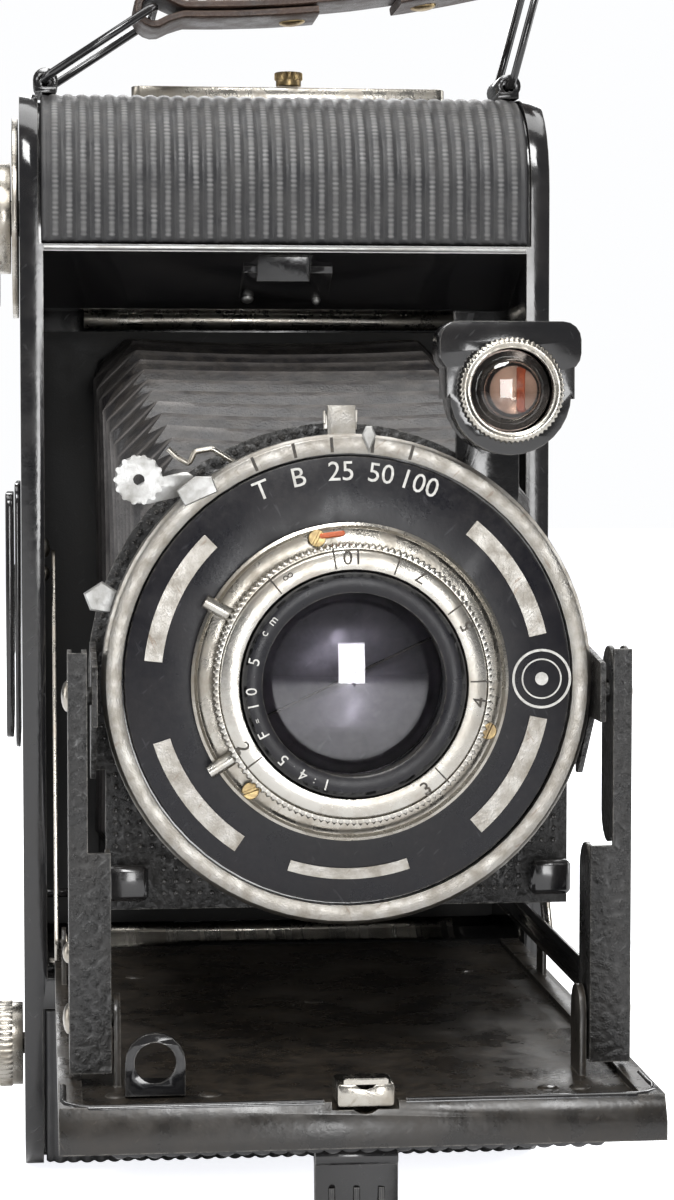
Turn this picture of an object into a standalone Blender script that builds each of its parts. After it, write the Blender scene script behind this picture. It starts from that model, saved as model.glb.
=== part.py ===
"""Roll-film folding camera, bed open and lens standard erected. Metres, +Z up, lens facing -Y."""
import math

import bmesh
import bpy
from mathutils import Matrix, Vector

MM = 0.001
GAP = 0.3

# body, in millimetres: x is its width, y its depth, z its height
BODY_HALF_WIDTH = 40.0
BODY_HALF_DEPTH = 19.0
BODY_HEIGHT = 166.0
END_RADIUS = 15.0
SIDE_WALL = 3.5
SPLIT_Y = 12.0
DOOR_BOTTOM = 8.7
DOOR_HINGE = (18.9, 8.85)
OPENING_BOTTOM = 33.0
OPENING_TOP = 141.2
CEILING_BACK = (-2.0, 133.6)
SPOOL_Y = 1.5
SPOOL_RADIUS = 12.3
CHAMBER_RADIUS = 13.0
TOP_SPOOL_Z = 147.5
BOTTOM_SPOOL_Z = 17.5
LEATHER = 0.9
LEATHER_HALF_WIDTH = 36.9
LATCH_X = 2.6

# folding bed and erecting linkage
HINGE = (-17.0, 34.0)
BED_LENGTH = 106.8
BED_HALF_WIDTH = 35.4
BED_FLOOR = 35.7
BED_RIM = 36.6
BED_BOTTOM = 31.4
BED_LEATHER_BOTTOM = 29.2
LUG_Z = 39.9
FRONT_LIP_CUT = [(-126.0, 33.4), (-123.9, 33.4), (-122.3, 36.7), (-126.0, 36.7)]  # leans the front lip back
LOWER_PIVOT = (-105.5, 43.5)
ARM_LENGTH = 39.0
ARM_FOOT = 2.8  # how far a side arm's straight part runs on past each pivot
ARM_HEAD = 2.0
UPPER_PIVOT = (LOWER_PIVOT[0], LOWER_PIVOT[1] + ARM_LENGTH)
LINK_PIVOT = (-11.4, 43.5)
LINK_LENGTH = 84.5
STAY_PIVOT = (-47.0, 42.0)
STAY_TOP = (-12.0, 94.0)

# shutter and lens, radii about the lens axis at x 0
AXIS_Z = 84.0
FACE_Y = -104.5
PLATE_Y = -92.5
RIM_RADIUS = 29.9
RIM_INNER = 27.5
FACE_RADIUS = 27.2
FLANGE_RADIUS = 19.2
FOCUS_RADIUS = 16.6
NAME_RADIUS = 13.7
GLASS_RADIUS = 10.8

for old in list(bpy.data.objects):
    bpy.data.objects.remove(old, do_unlink=True)

parts = bpy.data.collections.new("folding_camera")
cutters = bpy.data.collections.new("cutters")
bpy.context.scene.collection.children.link(parts)
bpy.context.scene.collection.children.link(cutters)

FINISHES = {
    "enamel": ((0.012, 0.012, 0.014), 0.18, 0.0),
    "crackle": ((0.02, 0.02, 0.022), 0.5, 0.0),
    "leatherette": ((0.035, 0.037, 0.04), 0.6, 0.0),
    "nickel": ((0.62, 0.58, 0.5), 0.3, 1.0),
    "aluminium": ((0.72, 0.72, 0.7), 0.38, 1.0),
    "brass": ((0.6, 0.42, 0.18), 0.35, 1.0),
    "blacking": ((0.015, 0.015, 0.015), 0.7, 0.2),
    "bellows": ((0.02, 0.02, 0.02), 0.65, 0.0),
    "glass": ((0.8, 0.85, 0.85), 0.03, 0.0),
    "strap": ((0.05, 0.03, 0.02), 0.55, 0.0),
    "red": ((0.4, 0.01, 0.01), 0.1, 0.0),
    "wood": ((0.35, 0.2, 0.1), 0.6, 0.0),
}
materials = {}
for slot, (colour, rough, metal) in FINISHES.items():
    made = bpy.data.materials.new(slot)
    made.use_nodes = True
    shader = made.node_tree.nodes["Principled BSDF"]
    shader.inputs["Base Color"].default_value = (*colour, 1)
    shader.inputs["Roughness"].default_value = rough
    shader.inputs["Metallic"].default_value = metal
    materials[slot] = made

# a side plane has u = y, v = z and its thickness along x; front has u = x, v = z; top has u = x, v = y
PLANES = {
    "side": Matrix(((0, 0, 1, 0), (1, 0, 0, 0), (0, 1, 0, 0), (0, 0, 0, 1))),
    "front": Matrix(((1, 0, 0, 0), (0, 0, -1, 0), (0, 1, 0, 0), (0, 0, 0, 1))),
    "top": Matrix.Identity(4),
}


def add(name, mesh, finish=None):
    """Put a mesh in the parts collection, or with the cutters when it has no finish."""
    obj = bpy.data.objects.new(name, mesh)
    (parts if finish else cutters).objects.link(obj)
    if finish:
        mesh.materials.clear()
        mesh.materials.append(materials[finish])
    else:
        obj.hide_render = True
        obj.display_type = "WIRE"
    return obj


def shaded(mesh, angle=35):
    mesh.shade_smooth()
    mesh.set_sharp_from_angle(angle=math.radians(angle))
    return mesh


def settled(obj):
    """An object's evaluated shape as a welded mesh in world space; the object goes."""
    bpy.context.view_layer.update()
    graph = bpy.context.evaluated_depsgraph_get()
    mesh = bpy.data.meshes.new_from_object(obj.evaluated_get(graph))
    mesh.transform(obj.matrix_world)
    bm = bmesh.new()
    bm.from_mesh(mesh)
    bmesh.ops.remove_doubles(bm, verts=bm.verts, dist=1e-6)
    bm.to_mesh(mesh)
    bm.free()
    bpy.data.objects.remove(obj, do_unlink=True)
    return mesh


def box(name, x, y, z, finish=None, bevel=0.0):
    """A block between the two values of each axis, with rounded edges if bevel is given."""
    bm = bmesh.new()
    bmesh.ops.create_cube(bm, size=1.0)
    size = [(b - a) * MM for a, b in (x, y, z)]
    centre = [(b + a) / 2 * MM for a, b in (x, y, z)]
    bmesh.ops.scale(bm, vec=size, verts=bm.verts)
    if bevel:
        bmesh.ops.bevel(bm, geom=bm.edges[:], offset=bevel * MM, segments=2, profile=0.5, affect="EDGES")
    bmesh.ops.translate(bm, vec=centre, verts=bm.verts)
    mesh = bpy.data.meshes.new(name)
    bm.to_mesh(mesh)
    bm.free()
    return add(name, shaded(mesh), finish)


def rod(name, start, end, radius, finish=None, sides=24, radius_end=None):
    """A round bar or cone between two points."""
    a, b = Vector(start) * MM, Vector(end) * MM
    bm = bmesh.new()
    bmesh.ops.create_cone(bm, cap_ends=True, segments=sides, radius1=radius * MM,
                          radius2=(radius if radius_end is None else radius_end) * MM, depth=(b - a).length)
    turn = (b - a).to_track_quat("Z", "Y").to_matrix().to_4x4()
    bm.transform(Matrix.Translation((a + b) / 2) @ turn)
    mesh = bpy.data.meshes.new(name)
    bm.to_mesh(mesh)
    bm.free()
    return add(name, shaded(mesh), finish)


def turned(name, profile, centre, axis, finish=None, steps=48):
    """A turned solid: profile is (radius, height) from the top centre down its outer side and back."""
    mesh = bpy.data.meshes.new(name)
    points = [(r * MM, 0, h * MM) for r, h in profile]
    closed = profile[0][0] > 0
    edges = [(i, i + 1) for i in range(len(points) - 1)]
    if closed:
        edges.append((len(points) - 1, 0))
    mesh.from_pydata(points, edges, [])
    obj = bpy.data.objects.new(name, mesh)
    cutters.objects.link(obj)
    screw = obj.modifiers.new("turn", "SCREW")
    screw.axis = "Z"
    screw.steps = steps
    screw.render_steps = steps
    screw.use_merge_vertices = True
    screw.merge_threshold = 1e-6
    obj.matrix_world = Matrix.Translation(Vector(centre) * MM) @ Vector(axis).to_track_quat("Z",
        "Y").to_matrix().to_4x4()
    return add(name, shaded(settled(obj)), finish)


def plate(name, loops, span, plane, finish=None):
    """A flat outline with its holes, extruded between the two values of span across the plane."""
    curve = bpy.data.curves.new(name, "CURVE")
    curve.dimensions = "2D"
    curve.fill_mode = "BOTH"
    curve.extrude = (span[1] - span[0]) / 2 * MM
    for loop in loops:
        spline = curve.splines.new("POLY")
        spline.points.add(len(loop) - 1)
        for point, (u, v) in zip(spline.points, loop):
            point.co = (u * MM, v * MM, 0, 1)
        spline.use_cyclic_u = True
    obj = bpy.data.objects.new(name, curve)
    cutters.objects.link(obj)
    middle = (span[0] + span[1]) / 2 * MM
    obj.matrix_world = PLANES[plane] @ Matrix.Translation((0, 0, middle))
    return add(name, shaded(settled(obj)), finish)


def wire(name, points, radius, finish=None, closed=False, sides=2):
    """A bent wire through the points."""
    curve = bpy.data.curves.new(name, "CURVE")
    curve.dimensions = "3D"
    curve.bevel_depth = radius * MM
    curve.bevel_resolution = sides
    curve.use_fill_caps = not closed
    spline = curve.splines.new("POLY")
    spline.points.add(len(points) - 1)
    for point, where in zip(spline.points, points):
        point.co = (*(Vector(where) * MM), 1)
    spline.use_cyclic_u = closed
    obj = bpy.data.objects.new(name, curve)
    cutters.objects.link(obj)
    return add(name, shaded(settled(obj)), finish)


def boolean(target, tools, operation):
    for tool in tools:
        if tool.name in parts.objects:
            parts.objects.unlink(tool)
            cutters.objects.link(tool)
        tool.hide_render = True
        tool.display_type = "WIRE"
        step = target.modifiers.new(tool.name, "BOOLEAN")
        step.operation = operation
        step.object = tool
        step.solver = "EXACT"
    return target


def cut(target, *tools):
    return boolean(target, tools, "DIFFERENCE")


def join(target, *tools):
    return boolean(target, tools, "UNION")


def arc(centre, radius, start, end, steps):
    """Points on an arc, angles in degrees."""
    turns = [math.radians(start + (end - start) * i / steps) for i in range(steps + 1)]
    return [(centre[0] + radius * math.cos(t), centre[1] + radius * math.sin(t)) for t in turns]


def circle(centre, radius, steps=32):
    return arc(centre, radius, 0, 360, steps)[:-1]


def rounded(u, v, radius, steps=6):
    """A rectangle with round corners."""
    (a, b), (c, d), r = u, v, radius
    return (arc((b - r, d - r), r, 0, 90, steps) + arc((a + r, d - r), r, 90, 180, steps)
            + arc((a + r, c + r), r, 180, 270, steps) + arc((b - r, c + r), r, 270, 360, steps))


def capsule(start, end, radius, steps=8):
    """A slot shape: two round ends about two points."""
    lean = math.degrees(math.atan2(end[1] - start[1], end[0] - start[0]))
    return arc(end, radius, lean - 90, lean + 90, steps) + arc(start, radius, lean + 90, lean + 270, steps)


def polar(radius, degrees):
    """A point in front of the camera at a radius and angle about the lens axis, as x and z."""
    return (radius * math.cos(math.radians(degrees)), AXIS_Z + radius * math.sin(math.radians(degrees)))


def mirrored(make):
    """Both hands of a side piece: the maker gets a name ending and -1 or 1."""
    return [make("left", -1), make("right", 1)]


def across(side, inner, outer):
    """The span of x on one side between two distances from the middle."""
    return tuple(sorted((side * inner, side * outer)))


def body_outline(inset=0.0, steps=8):
    return rounded((-BODY_HALF_DEPTH + inset, BODY_HALF_DEPTH - inset), (inset, BODY_HEIGHT - inset),
                   END_RADIUS - inset, steps)


def end_path(top, inset, slack=0.0, steps=8):
    """The side outline round one end, from the front face to the back corner; slack runs it on past the split."""
    r = END_RADIUS - inset
    half = BODY_HALF_DEPTH - END_RADIUS
    if top:
        z = BODY_HEIGHT - END_RADIUS
        last = math.degrees(math.acos((SPLIT_Y - GAP + slack - half) / r))
        return arc((-half, z), r, 180, 90, steps) + arc((half, z), r, 90, last, 4)
    z = END_RADIUS
    last = -math.degrees(math.asin((z - DOOR_BOTTOM + GAP * 2 - slack) / r))
    return arc((-half, z), r, 180, 270, steps) + arc((half, z), r, 270, 360 + last, 5)


def end_band(name, top, start_z, outer, inner, half_width, slack=0.0, finish=None):
    """A band that follows the side outline round one end, between two insets from it."""
    out = [(-BODY_HALF_DEPTH + outer, start_z)] + end_path(top, outer, slack)
    back = [(-BODY_HALF_DEPTH + inner, start_z)] + end_path(top, inner, slack)
    return plate(name, [out + back[::-1]], (-half_width, half_width), "side", finish)


def make_body():
    shell = plate("body_shell", [body_outline()], (-BODY_HALF_WIDTH, BODY_HALF_WIDTH), "side", "enamel")
    inner = BODY_HALF_WIDTH - SIDE_WALL
    wide = BODY_HALF_WIDTH - 2.7
    chamber = [(-22, OPENING_BOTTOM), (13, OPENING_BOTTOM), (13, CEILING_BACK[1]), CEILING_BACK,
               (-17.5, OPENING_TOP), (-22, OPENING_TOP)]
    recess = LEATHER + GAP
    cut(shell,
        box("back_space", (-50, 50), (SPLIT_Y, 30), (DOOR_BOTTOM, 180)),
        plate("bellows_space", [chamber], (-inner, inner), "side"),
        rod("hinge_trough", (-inner, *HINGE), (inner, *HINGE), 2.3, sides=24),
        box("hinge_mouth", (-inner, inner), (-22, HINGE[0]), (HINGE[1] - 2.3, HINGE[1])))
    for name, z, low, high in (("top", TOP_SPOOL_Z, TOP_SPOOL_Z - 12.9, TOP_SPOOL_Z + 12.9),
                               ("bottom", BOTTOM_SPOOL_Z, 11.2, BOTTOM_SPOOL_Z + 12.9)):
        cut(shell,
            rod(name + "_chamber", (-wide, SPOOL_Y, z), (wide, SPOOL_Y, z), CHAMBER_RADIUS, sides=40),
            box(name + "_mouth", (-wide, wide), (SPOOL_Y, 20), (low, high)))
    cut(shell,
        end_band("top_recess", True, 142.3, -2.0, recess, LEATHER_HALF_WIDTH + GAP, 2.0),
        end_band("bottom_recess", False, 27.0, -2.0, recess, LEATHER_HALF_WIDTH + GAP, 0.6),
        rod("key_hole", (-50, SPOOL_Y, TOP_SPOOL_Z), (-30, SPOOL_Y, TOP_SPOOL_Z), 3.2),
        rod("knob_hole", (-50, SPOOL_Y, BOTTOM_SPOOL_Z), (-30, SPOOL_Y, BOTTOM_SPOOL_Z), 2.2))
    slope = (OPENING_TOP - CEILING_BACK[1]) / (-17.5 - CEILING_BACK[0])

    def ceiling(y):
        return OPENING_TOP + (y + 17.5) * slope

    front, back = -13.9, -5.0
    keeper = [(front, ceiling(front) + 0.4), (front, ceiling(front) - 1.0),
              (back, ceiling(back) - 1.0), (back, ceiling(back) + 0.4)]
    join(shell, plate("bed_catch_keeper", [keeper], (-6.2, 7.4), "side"))
    cut(shell, box("catch_pocket", (-4.0, 4.0), (-17.0, -11.6), (134.5, 141.0)))
    for side in (-1, 1):
        join(shell, rod(f"link_post_{side}", (side * 32.3, *LINK_PIVOT), (side * 37.0, *LINK_PIVOT), 0.7,
            sides=12))
    end_band("leather_top", True, 142.6, 0, LEATHER, LEATHER_HALF_WIDTH, finish="leatherette")
    end_band("leather_bottom", False, 26.7, 0, LEATHER, LEATHER_HALF_WIDTH, finish="leatherette")
    plate("film_gate", [rounded((-37.3, 37.3), (34.6, 130.4), 1.5, 3), rounded((-28, 28), (42, 126), 1, 3)],
          (-13.4, -12.3), "front", "blacking")


def make_rollers_and_spools():
    for name, z in (("takeup_spool", TOP_SPOOL_Z), ("feed_spool", BOTTOM_SPOOL_Z)):
        half, core, r, cheek = 32.5, 5.2, SPOOL_RADIUS, 0.9
        profile = [(2.4, half), (r, half), (r, half - cheek), (core, half - cheek), (core, cheek - half),
            (r, cheek - half),
                   (r, -half), (2.4, -half)]
        turned(name, profile, (0, SPOOL_Y, z), (1, 0, 0), "wood" if name == "feed_spool" else "blacking",
            32)
    for name, z in (("film_roller_top", 132.3), ("film_roller_bottom", 32.7)):
        rod(name, (-30, 13.6, z), (30, 13.6, z), 1.5, "nickel", 16)


def make_winder():
    """The key on the left wall with its shaft into the take-up spool, over a plain washer plate."""
    middle = (SPOOL_Y, TOP_SPOOL_Z)
    plate("winder_plate", [circle(middle, 15.5, 48), circle(middle, 3.4, 24)], (-41.2, -40.3), "side",
        "nickel")
    key = turned("wind_key", [(0, 2.6), (7.5, 2.6), (8.6, 1.9), (8.6, 0), (2.8, 0), (2.8, -7.0), (1.9,
        -7.0), (1.9, -12.4), (0, -12.4)],
                 (-41.5, *middle), (-1, 0, 0), "nickel", 32)
    join(key, plate("key_wing", [capsule((SPOOL_Y, TOP_SPOOL_Z - 9.5), (SPOOL_Y, TOP_SPOOL_Z + 9.5), 4.2)],
                    (-45.2, -43.2), "side"))


def make_spool_knob():
    turned("spool_knob", [(0, 4.0), (6.0, 4.0), (6.5, 3.5), (6.5, 0), (1.7, 0), (1.7, -10.0), (0, -10.0)],
           (-40.4, SPOOL_Y, BOTTOM_SPOOL_Z), (-1, 0, 0), "nickel", 32)


def make_side_finder():
    plate("finder_base", [rounded((-18, 16), (66.5, 106.5), 3, 4)], (-41.0, -40.3), "side", "enamel")
    plate("sight_frame", [rounded((-17, 4), (68, 105), 2, 4), rounded((-14, 2), (71, 102), 1, 3)], (-42.4,
        -41.3), "side", "enamel")
    plate("rear_sight", [rounded((5, 15), (79, 93), 2, 4), circle((9, 86), 2.2, 16)], (-42.4, -41.3),
        "side", "enamel")


def make_back_door():
    outer = body_outline()
    door = plate("back_door", [outer], (-BODY_HALF_WIDTH, BODY_HALF_WIDTH), "side", "enamel")
    wall = 1.3
    front = box("door_front", (-50, 50), (-30, SPLIT_Y + GAP), (-5, 180))
    foot = box("door_foot", (-50, 50), (-30, 30), (-5, DOOR_BOTTOM + GAP))
    hollow = plate("door_hollow", [body_outline(wall)], (-BODY_HALF_WIDTH + wall, BODY_HALF_WIDTH - wall),
        "side")
    window = rod("window_hole", (12, 10, 60), (12, 30, 60), 3.0)
    cut(door, front, foot, hollow, window)
    plate("door_leather", [rounded((-36.5, 36.5), (14, 148), 2, 4), circle((12, 60), 6.6, 24)], (-19.9,
        -19.3), "front", "leatherette")
    plate("pressure_plate", [rounded((-31, 31), (38, 129), 2, 4), circle((12, 60), 3.4, 20)], (-15.2,
        -14.3), "front", "blacking")
    arch = [(16.8, 60 + 18), (16.8, 62 + 18), (15.6, 84 + 3), (16.8, 106), (16.8, 108), (17.4, 108),
        (17.4, 106), (16.2, 87), (17.4, 80), (17.4, 78)]
    plate("pressure_spring", [arch], (-4, 4), "side", "nickel")
    turned("red_window", [(0, 0.5), (2.6, 0.5), (2.6, -0.5), (0, -0.5)], (12, 18.4, 60), (0, 1, 0), "red",
        24)
    plate("window_cover", [capsule((12, 60), (18, 60), 4.0), circle((18, 60), 1.3, 16)], (-21.2, -20.3),
        "front", "nickel")
    join(door, rod("door_knuckle", (-16, *DOOR_HINGE), (16, *DOOR_HINGE), 0.9, sides=16),
         box("knuckle_leaf", (-16, 16), (16.9, 19.2), (DOOR_BOTTOM + 0.4, DOOR_BOTTOM + 1.9)))


def make_latch():
    bar = plate("latch_bar", [capsule((LATCH_X - 23.6, 8), (LATCH_X + 23.6, 8), 1.4, 6)], (166.3, 169.0),
                "top", "nickel")
    turned("latch_knob", [(0, 2.4), (1.5, 2.2), (2.0, 1.5), (2.0, 0), (0, 0)], (LATCH_X, 8, 169.3), (0, 0, 1),
        "brass", 24)
    return bar


def make_strap():
    for side, lean, length, name in ((-1, 33.5, 20.0, "left"), (1, 75.0, 19.0, "right")):
        pivot = (side * 36.0, 168.2)
        turn = (math.cos(math.radians(lean)), math.sin(math.radians(lean)))
        half = 8.4
        points = []
        for along, y in ((0, -half), (length, -half), (length, half), (0, half)):
            points.append((along, y))
        loop = []
        for i, (along, y) in enumerate(points):
            after = points[(i + 1) % 4]
            before = points[i - 1]
            for other, share in ((before, 1), (after, 1)):
                far = math.dist(other, (along, y))
                mix = 1.2 / far
                loop.append((along + (other[0] - along) * mix, y + (other[1] - y) * mix))
        wire("bail_" + name, [(pivot[0] + a * turn[0], y, pivot[1] + a * turn[1]) for a, y in loop], 0.65,
            "nickel", True)
        lug = plate("strap_lug_" + name, [circle(pivot, 1.9, 20)], (-5, 5), "front", "nickel")
        join(lug, box("lug_foot_" + name, (pivot[0] - 1.6, pivot[0] + 1.6), (-5, 5), (166.3, 167.2)))
        cut(lug, rod("lug_bore_" + name, (pivot[0], -9, pivot[1]), (pivot[0], 9, pivot[1]), 0.98, sides=20))
    a = (-36 + 20 * math.cos(math.radians(33.5)), 168.2 + 20 * math.sin(math.radians(33.5)))
    b = (36 + 19 * math.cos(math.radians(75)), 168.2 + 19 * math.sin(math.radians(75)))
    middle = []
    for i in range(13):
        t = i / 12
        middle.append((a[0] + (b[0] - a[0]) * t,
            a[1] + (b[1] - a[1]) * t - 2.2 * math.sin(math.pi * t) - 0.3))
    upper = [(u, v + 1.5) for u, v in middle]
    lower = [(u, v - 1.5) for u, v in middle]
    strap = plate("strap", [lower + upper[::-1]], (-6.8, 6.8), "front", "strap")
    join(strap, plate("eye_a", [circle(a, 3.3, 20)], (-6.6, 6.6), "front"), plate("eye_b", [circle(b, 3.3,
        20)], (-6.6, 6.6), "front"))
    cut(strap, rod("eye_bore_a", (a[0], -9, a[1]), (a[0], 9, a[1]), 1.7, sides=20),
        rod("eye_bore_b", (b[0], -9, b[1]), (b[0], 9, b[1]), 1.7, sides=20))


def make_bellows():
    """Pleated leather tube: rings of a chamfered rectangle, alternately wide and narrow."""
    folds, rear, front = 12, (10.4, 29.2, 43.4), (-91.2, 25.6, 26.2)
    bm = bmesh.new()
    rings = []
    for i in range(2 * folds + 1):
        t = i / (2 * folds)
        dip = 0.0 if i % 2 == 0 else 2.6
        y = rear[0] + (front[0] - rear[0]) * t
        hx = rear[1] + (front[1] - rear[1]) * t - dip
        hz = rear[2] + (front[2] - rear[2]) * t - dip
        c = 4.0
        outline = [(hx, hz - c), (hx - c, hz), (c - hx, hz), (-hx, hz - c), (-hx, c - hz), (c - hx, -hz),
            (hx - c, -hz), (hx, c - hz)]
        rings.append([bm.verts.new((u * MM, y * MM, (AXIS_Z + v) * MM)) for u, v in outline])
    for a, b in zip(rings, rings[1:]):
        for i in range(8):
            bm.faces.new((a[i], a[(i + 1) % 8], b[(i + 1) % 8], b[i]))
    bmesh.ops.recalc_face_normals(bm, faces=bm.faces)
    mesh = bpy.data.meshes.new("bellows")
    bm.to_mesh(mesh)
    bm.free()
    obj = add("bellows", mesh, "bellows")
    wall = obj.modifiers.new("leather", "SOLIDIFY")
    wall.thickness = 0.5 * MM
    wall.offset = 0


def make_bed():
    end_y = HINGE[0] - BED_LENGTH
    tray = box("bed", (-BED_HALF_WIDTH, BED_HALF_WIDTH), (end_y, -19.6), (BED_BOTTOM, BED_RIM), "enamel")
    cut(tray, box("tray_hollow", (-32.6, 32.6), (end_y + 2.6, -10), (BED_FLOOR, 50)),
        box("catch_notch", (-3.9, 3.9), (end_y - 2, end_y + 8), (BED_FLOOR, 50)),
        rod("catch_lip", (0, end_y - 3, 37.4), (0, end_y + 5, 37.4), 2.2, sides=20),
        plate("front_lip_lean", [FRONT_LIP_CUT], (-40, 40), "side"))
    join(tray, plate("hinge_tongue", [arc((HINGE[0], HINGE[1]), 1.9, -90, 90, 8) + [(-20.5,
        HINGE[1] + 1.7), (-20.5, HINGE[1] - 1.9)]],
                     (-28, 28), "side"))
    cut(tray, rod("hinge_bore", (-40, *HINGE), (40, *HINGE), 1.0, sides=16))
    rod("bed_hinge_pin", (-36.2, *HINGE), (36.2, *HINGE), 0.7, "nickel", 16)
    box("bed_leather", (-29.5, 29.5), (end_y + 6, -24), (BED_LEATHER_BOTTOM, BED_BOTTOM - GAP),
        "leatherette", 0.7)
    catch = box("bed_catch", (-3.4, 3.4), (end_y + 0.6, end_y + 6.4), (BED_FLOOR + GAP, 38.8), "nickel",
        0.5)
    cut(catch, rod("thumb_notch", (0, end_y - 2, 39.6), (0, end_y + 9, 39.6), 1.5, sides=16))
    lug_y = end_y + 9
    lug = plate("front_lug", [arc((-24, LUG_Z), 3.55, 0, 180, 10) + [(-27.55, BED_FLOOR + GAP), (-20.45,
        BED_FLOOR + GAP)], circle((-24, LUG_Z), 2.45, 24)],
                (-lug_y - 0.8, -lug_y), "front", "nickel")
    join(lug, box("lug_shoe", (-27.55, -20.45), (lug_y, lug_y + 6), (BED_FLOOR + GAP,
        BED_FLOOR + GAP + 0.8)))

    def ear(name, side):
        y, z = LOWER_PIVOT
        bracket = arc((y, z), 3.0, 0, 180, 10) + [(y - 3.0, BED_FLOOR - 1.0), (y + 3.0, BED_FLOOR - 1.0)]
        return join(tray, plate("arm_bracket_" + name, [bracket], across(side, 27.9, 28.7), "side"),
                    rod("bracket_pin_" + name, (side * 28.2, y, z), (side * 30.9, y, z), 1.1, sides=16))

    def stay_ear(name, side):
        y, z = STAY_PIVOT
        ear_shape = arc((y, z), 2.4, 0, 180, 10) + [(y - 2.4, 36.2), (y + 2.4, 36.2)]
        return join(tray, plate("stay_ear_" + name, [ear_shape], across(side, 33.9, 34.5), "side"),
                    rod("stay_pin_" + name, (side * 34.2, y, z), (side * 35.4, y, z), 0.7, sides=12))

    mirrored(ear)
    mirrored(stay_ear)
    stand = plate("stand_leg", [[(-113.2, 27.6), (-113.2, 1.2), (-117.4, 1.2), (-117.4, 0.0), (-112.0,
        0.0), (-112.0, 27.6)]], (-5, 5), "side", "brass")
    join(stand, rod("stand_knuckle", (-5, -112.6, 27.7), (5, -112.6, 27.7), 1.15, sides=16))


def make_arms():
    def strut(name, side):
        lower, upper = LOWER_PIVOT, UPPER_PIVOT
        foot, head = (lower[0], lower[1] - ARM_FOOT), (upper[0], upper[1] + ARM_HEAD)
        outer_leaf = plate("strut_" + name, [capsule(foot, head, 3.6, 8)], across(side, 33.5, 34.0),
            "side", "crackle")
        split = 64.0
        web_low = box("web_low_" + name, across(side, 29.0, 34.0), (lower[0] - 3.6, lower[0] - 3.0),
            (lower[1] - ARM_FOOT - 3.2, split))
        web_top = box("web_top_" + name, across(side, 31.7, 34.0), (lower[0] - 3.6, lower[0] - 3.0),
            (split - 0.2, upper[1] + ARM_HEAD + 3.4))
        leaf_low = plate("leaf_low_" + name, [capsule(foot, (lower[0], split - 3.6), 3.6, 8)],
            across(side, 29.0, 29.6), "side")
        leaf_top = plate("leaf_top_" + name, [capsule((upper[0], split + 3.6), head, 3.6, 8)],
            across(side, 31.7, 32.3), "side")
        join(outer_leaf, web_low, web_top, leaf_low, leaf_top)
        cut(outer_leaf, rod("lower_bore_" + name, (side * 28, *lower), (side * 31.5, *lower), 1.45,
            sides=16),
            rod("upper_bore_" + name, (side * 31, *upper), (side * 33, *upper), 1.45, sides=16))
        return outer_leaf

    def link(name, side):
        start, end = LINK_PIVOT, (LINK_PIVOT[0] - LINK_LENGTH, LINK_PIVOT[1])
        made = plate("link_" + name, [capsule(start, end, 2.1, 8), circle(start, 1.0, 12)], across(side,
            32.65, 33.15), "side", "enamel")
        return made

    def stay(name, side):
        aim = Vector(STAY_TOP) - Vector(STAY_PIVOT)
        unit = aim.normalized()
        slot_a, slot_b = Vector(STAY_PIVOT) + unit * 30, Vector(STAY_PIVOT) + unit * 52
        return plate("stay_" + name, [capsule(STAY_PIVOT, STAY_TOP, 2.4, 8), capsule(slot_a, slot_b, 0.9,
            6), circle(STAY_PIVOT, 1.0, 12)],
                     across(side, 34.9, 35.5), "side", "nickel")

    for maker in (strut, link, stay):
        mirrored(maker)


def make_standard():
    low, half = AXIS_Z - 29.6, 29.2
    outline = [(-half, low), (half, low), (half, AXIS_Z - 6)] + arc((0, AXIS_Z), 31.3, -10, 190,
        32) + [(-half, AXIS_Z - 6)]
    plate_obj = plate("standard_plate", [outline, circle((0, AXIS_Z), 17, 32)], (-PLATE_Y - 0.9,
        -PLATE_Y), "front", "crackle")

    def flange(name, side):
        reach = [(-107.6, AXIS_Z - 5.1), (-107.6, AXIS_Z + 2.1), (-93.0, AXIS_Z + 4), (-91.7, AXIS_Z + 4),
            (-91.7, AXIS_Z - 13), (-93.0, AXIS_Z - 13), (-101, AXIS_Z - 5.1)]
        made = plate("flange_" + name, [reach], across(side, 30.4, 31.1), "side")
        join(made, rod("flange_pin_" + name, (side * 30.6, *UPPER_PIVOT), (side * 33.1, *UPPER_PIVOT),
            1.1, sides=16))
        return made

    def tie(name, side):
        return box("flange_tie_" + name, across(side, 28.4, 31.0), (-92.5, -91.7), (AXIS_Z - 12,
            AXIS_Z + 3))

    for maker in (flange, tie):
        join(plate_obj, *mirrored(maker))

    def press(name, side):
        return box("press_catch_" + name, across(side, 24.0, 29.2), (-95.9, -93.0), (AXIS_Z - 28.1,
            AXIS_Z - 23.7), "enamel", 0.7)

    mirrored(press)


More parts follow.
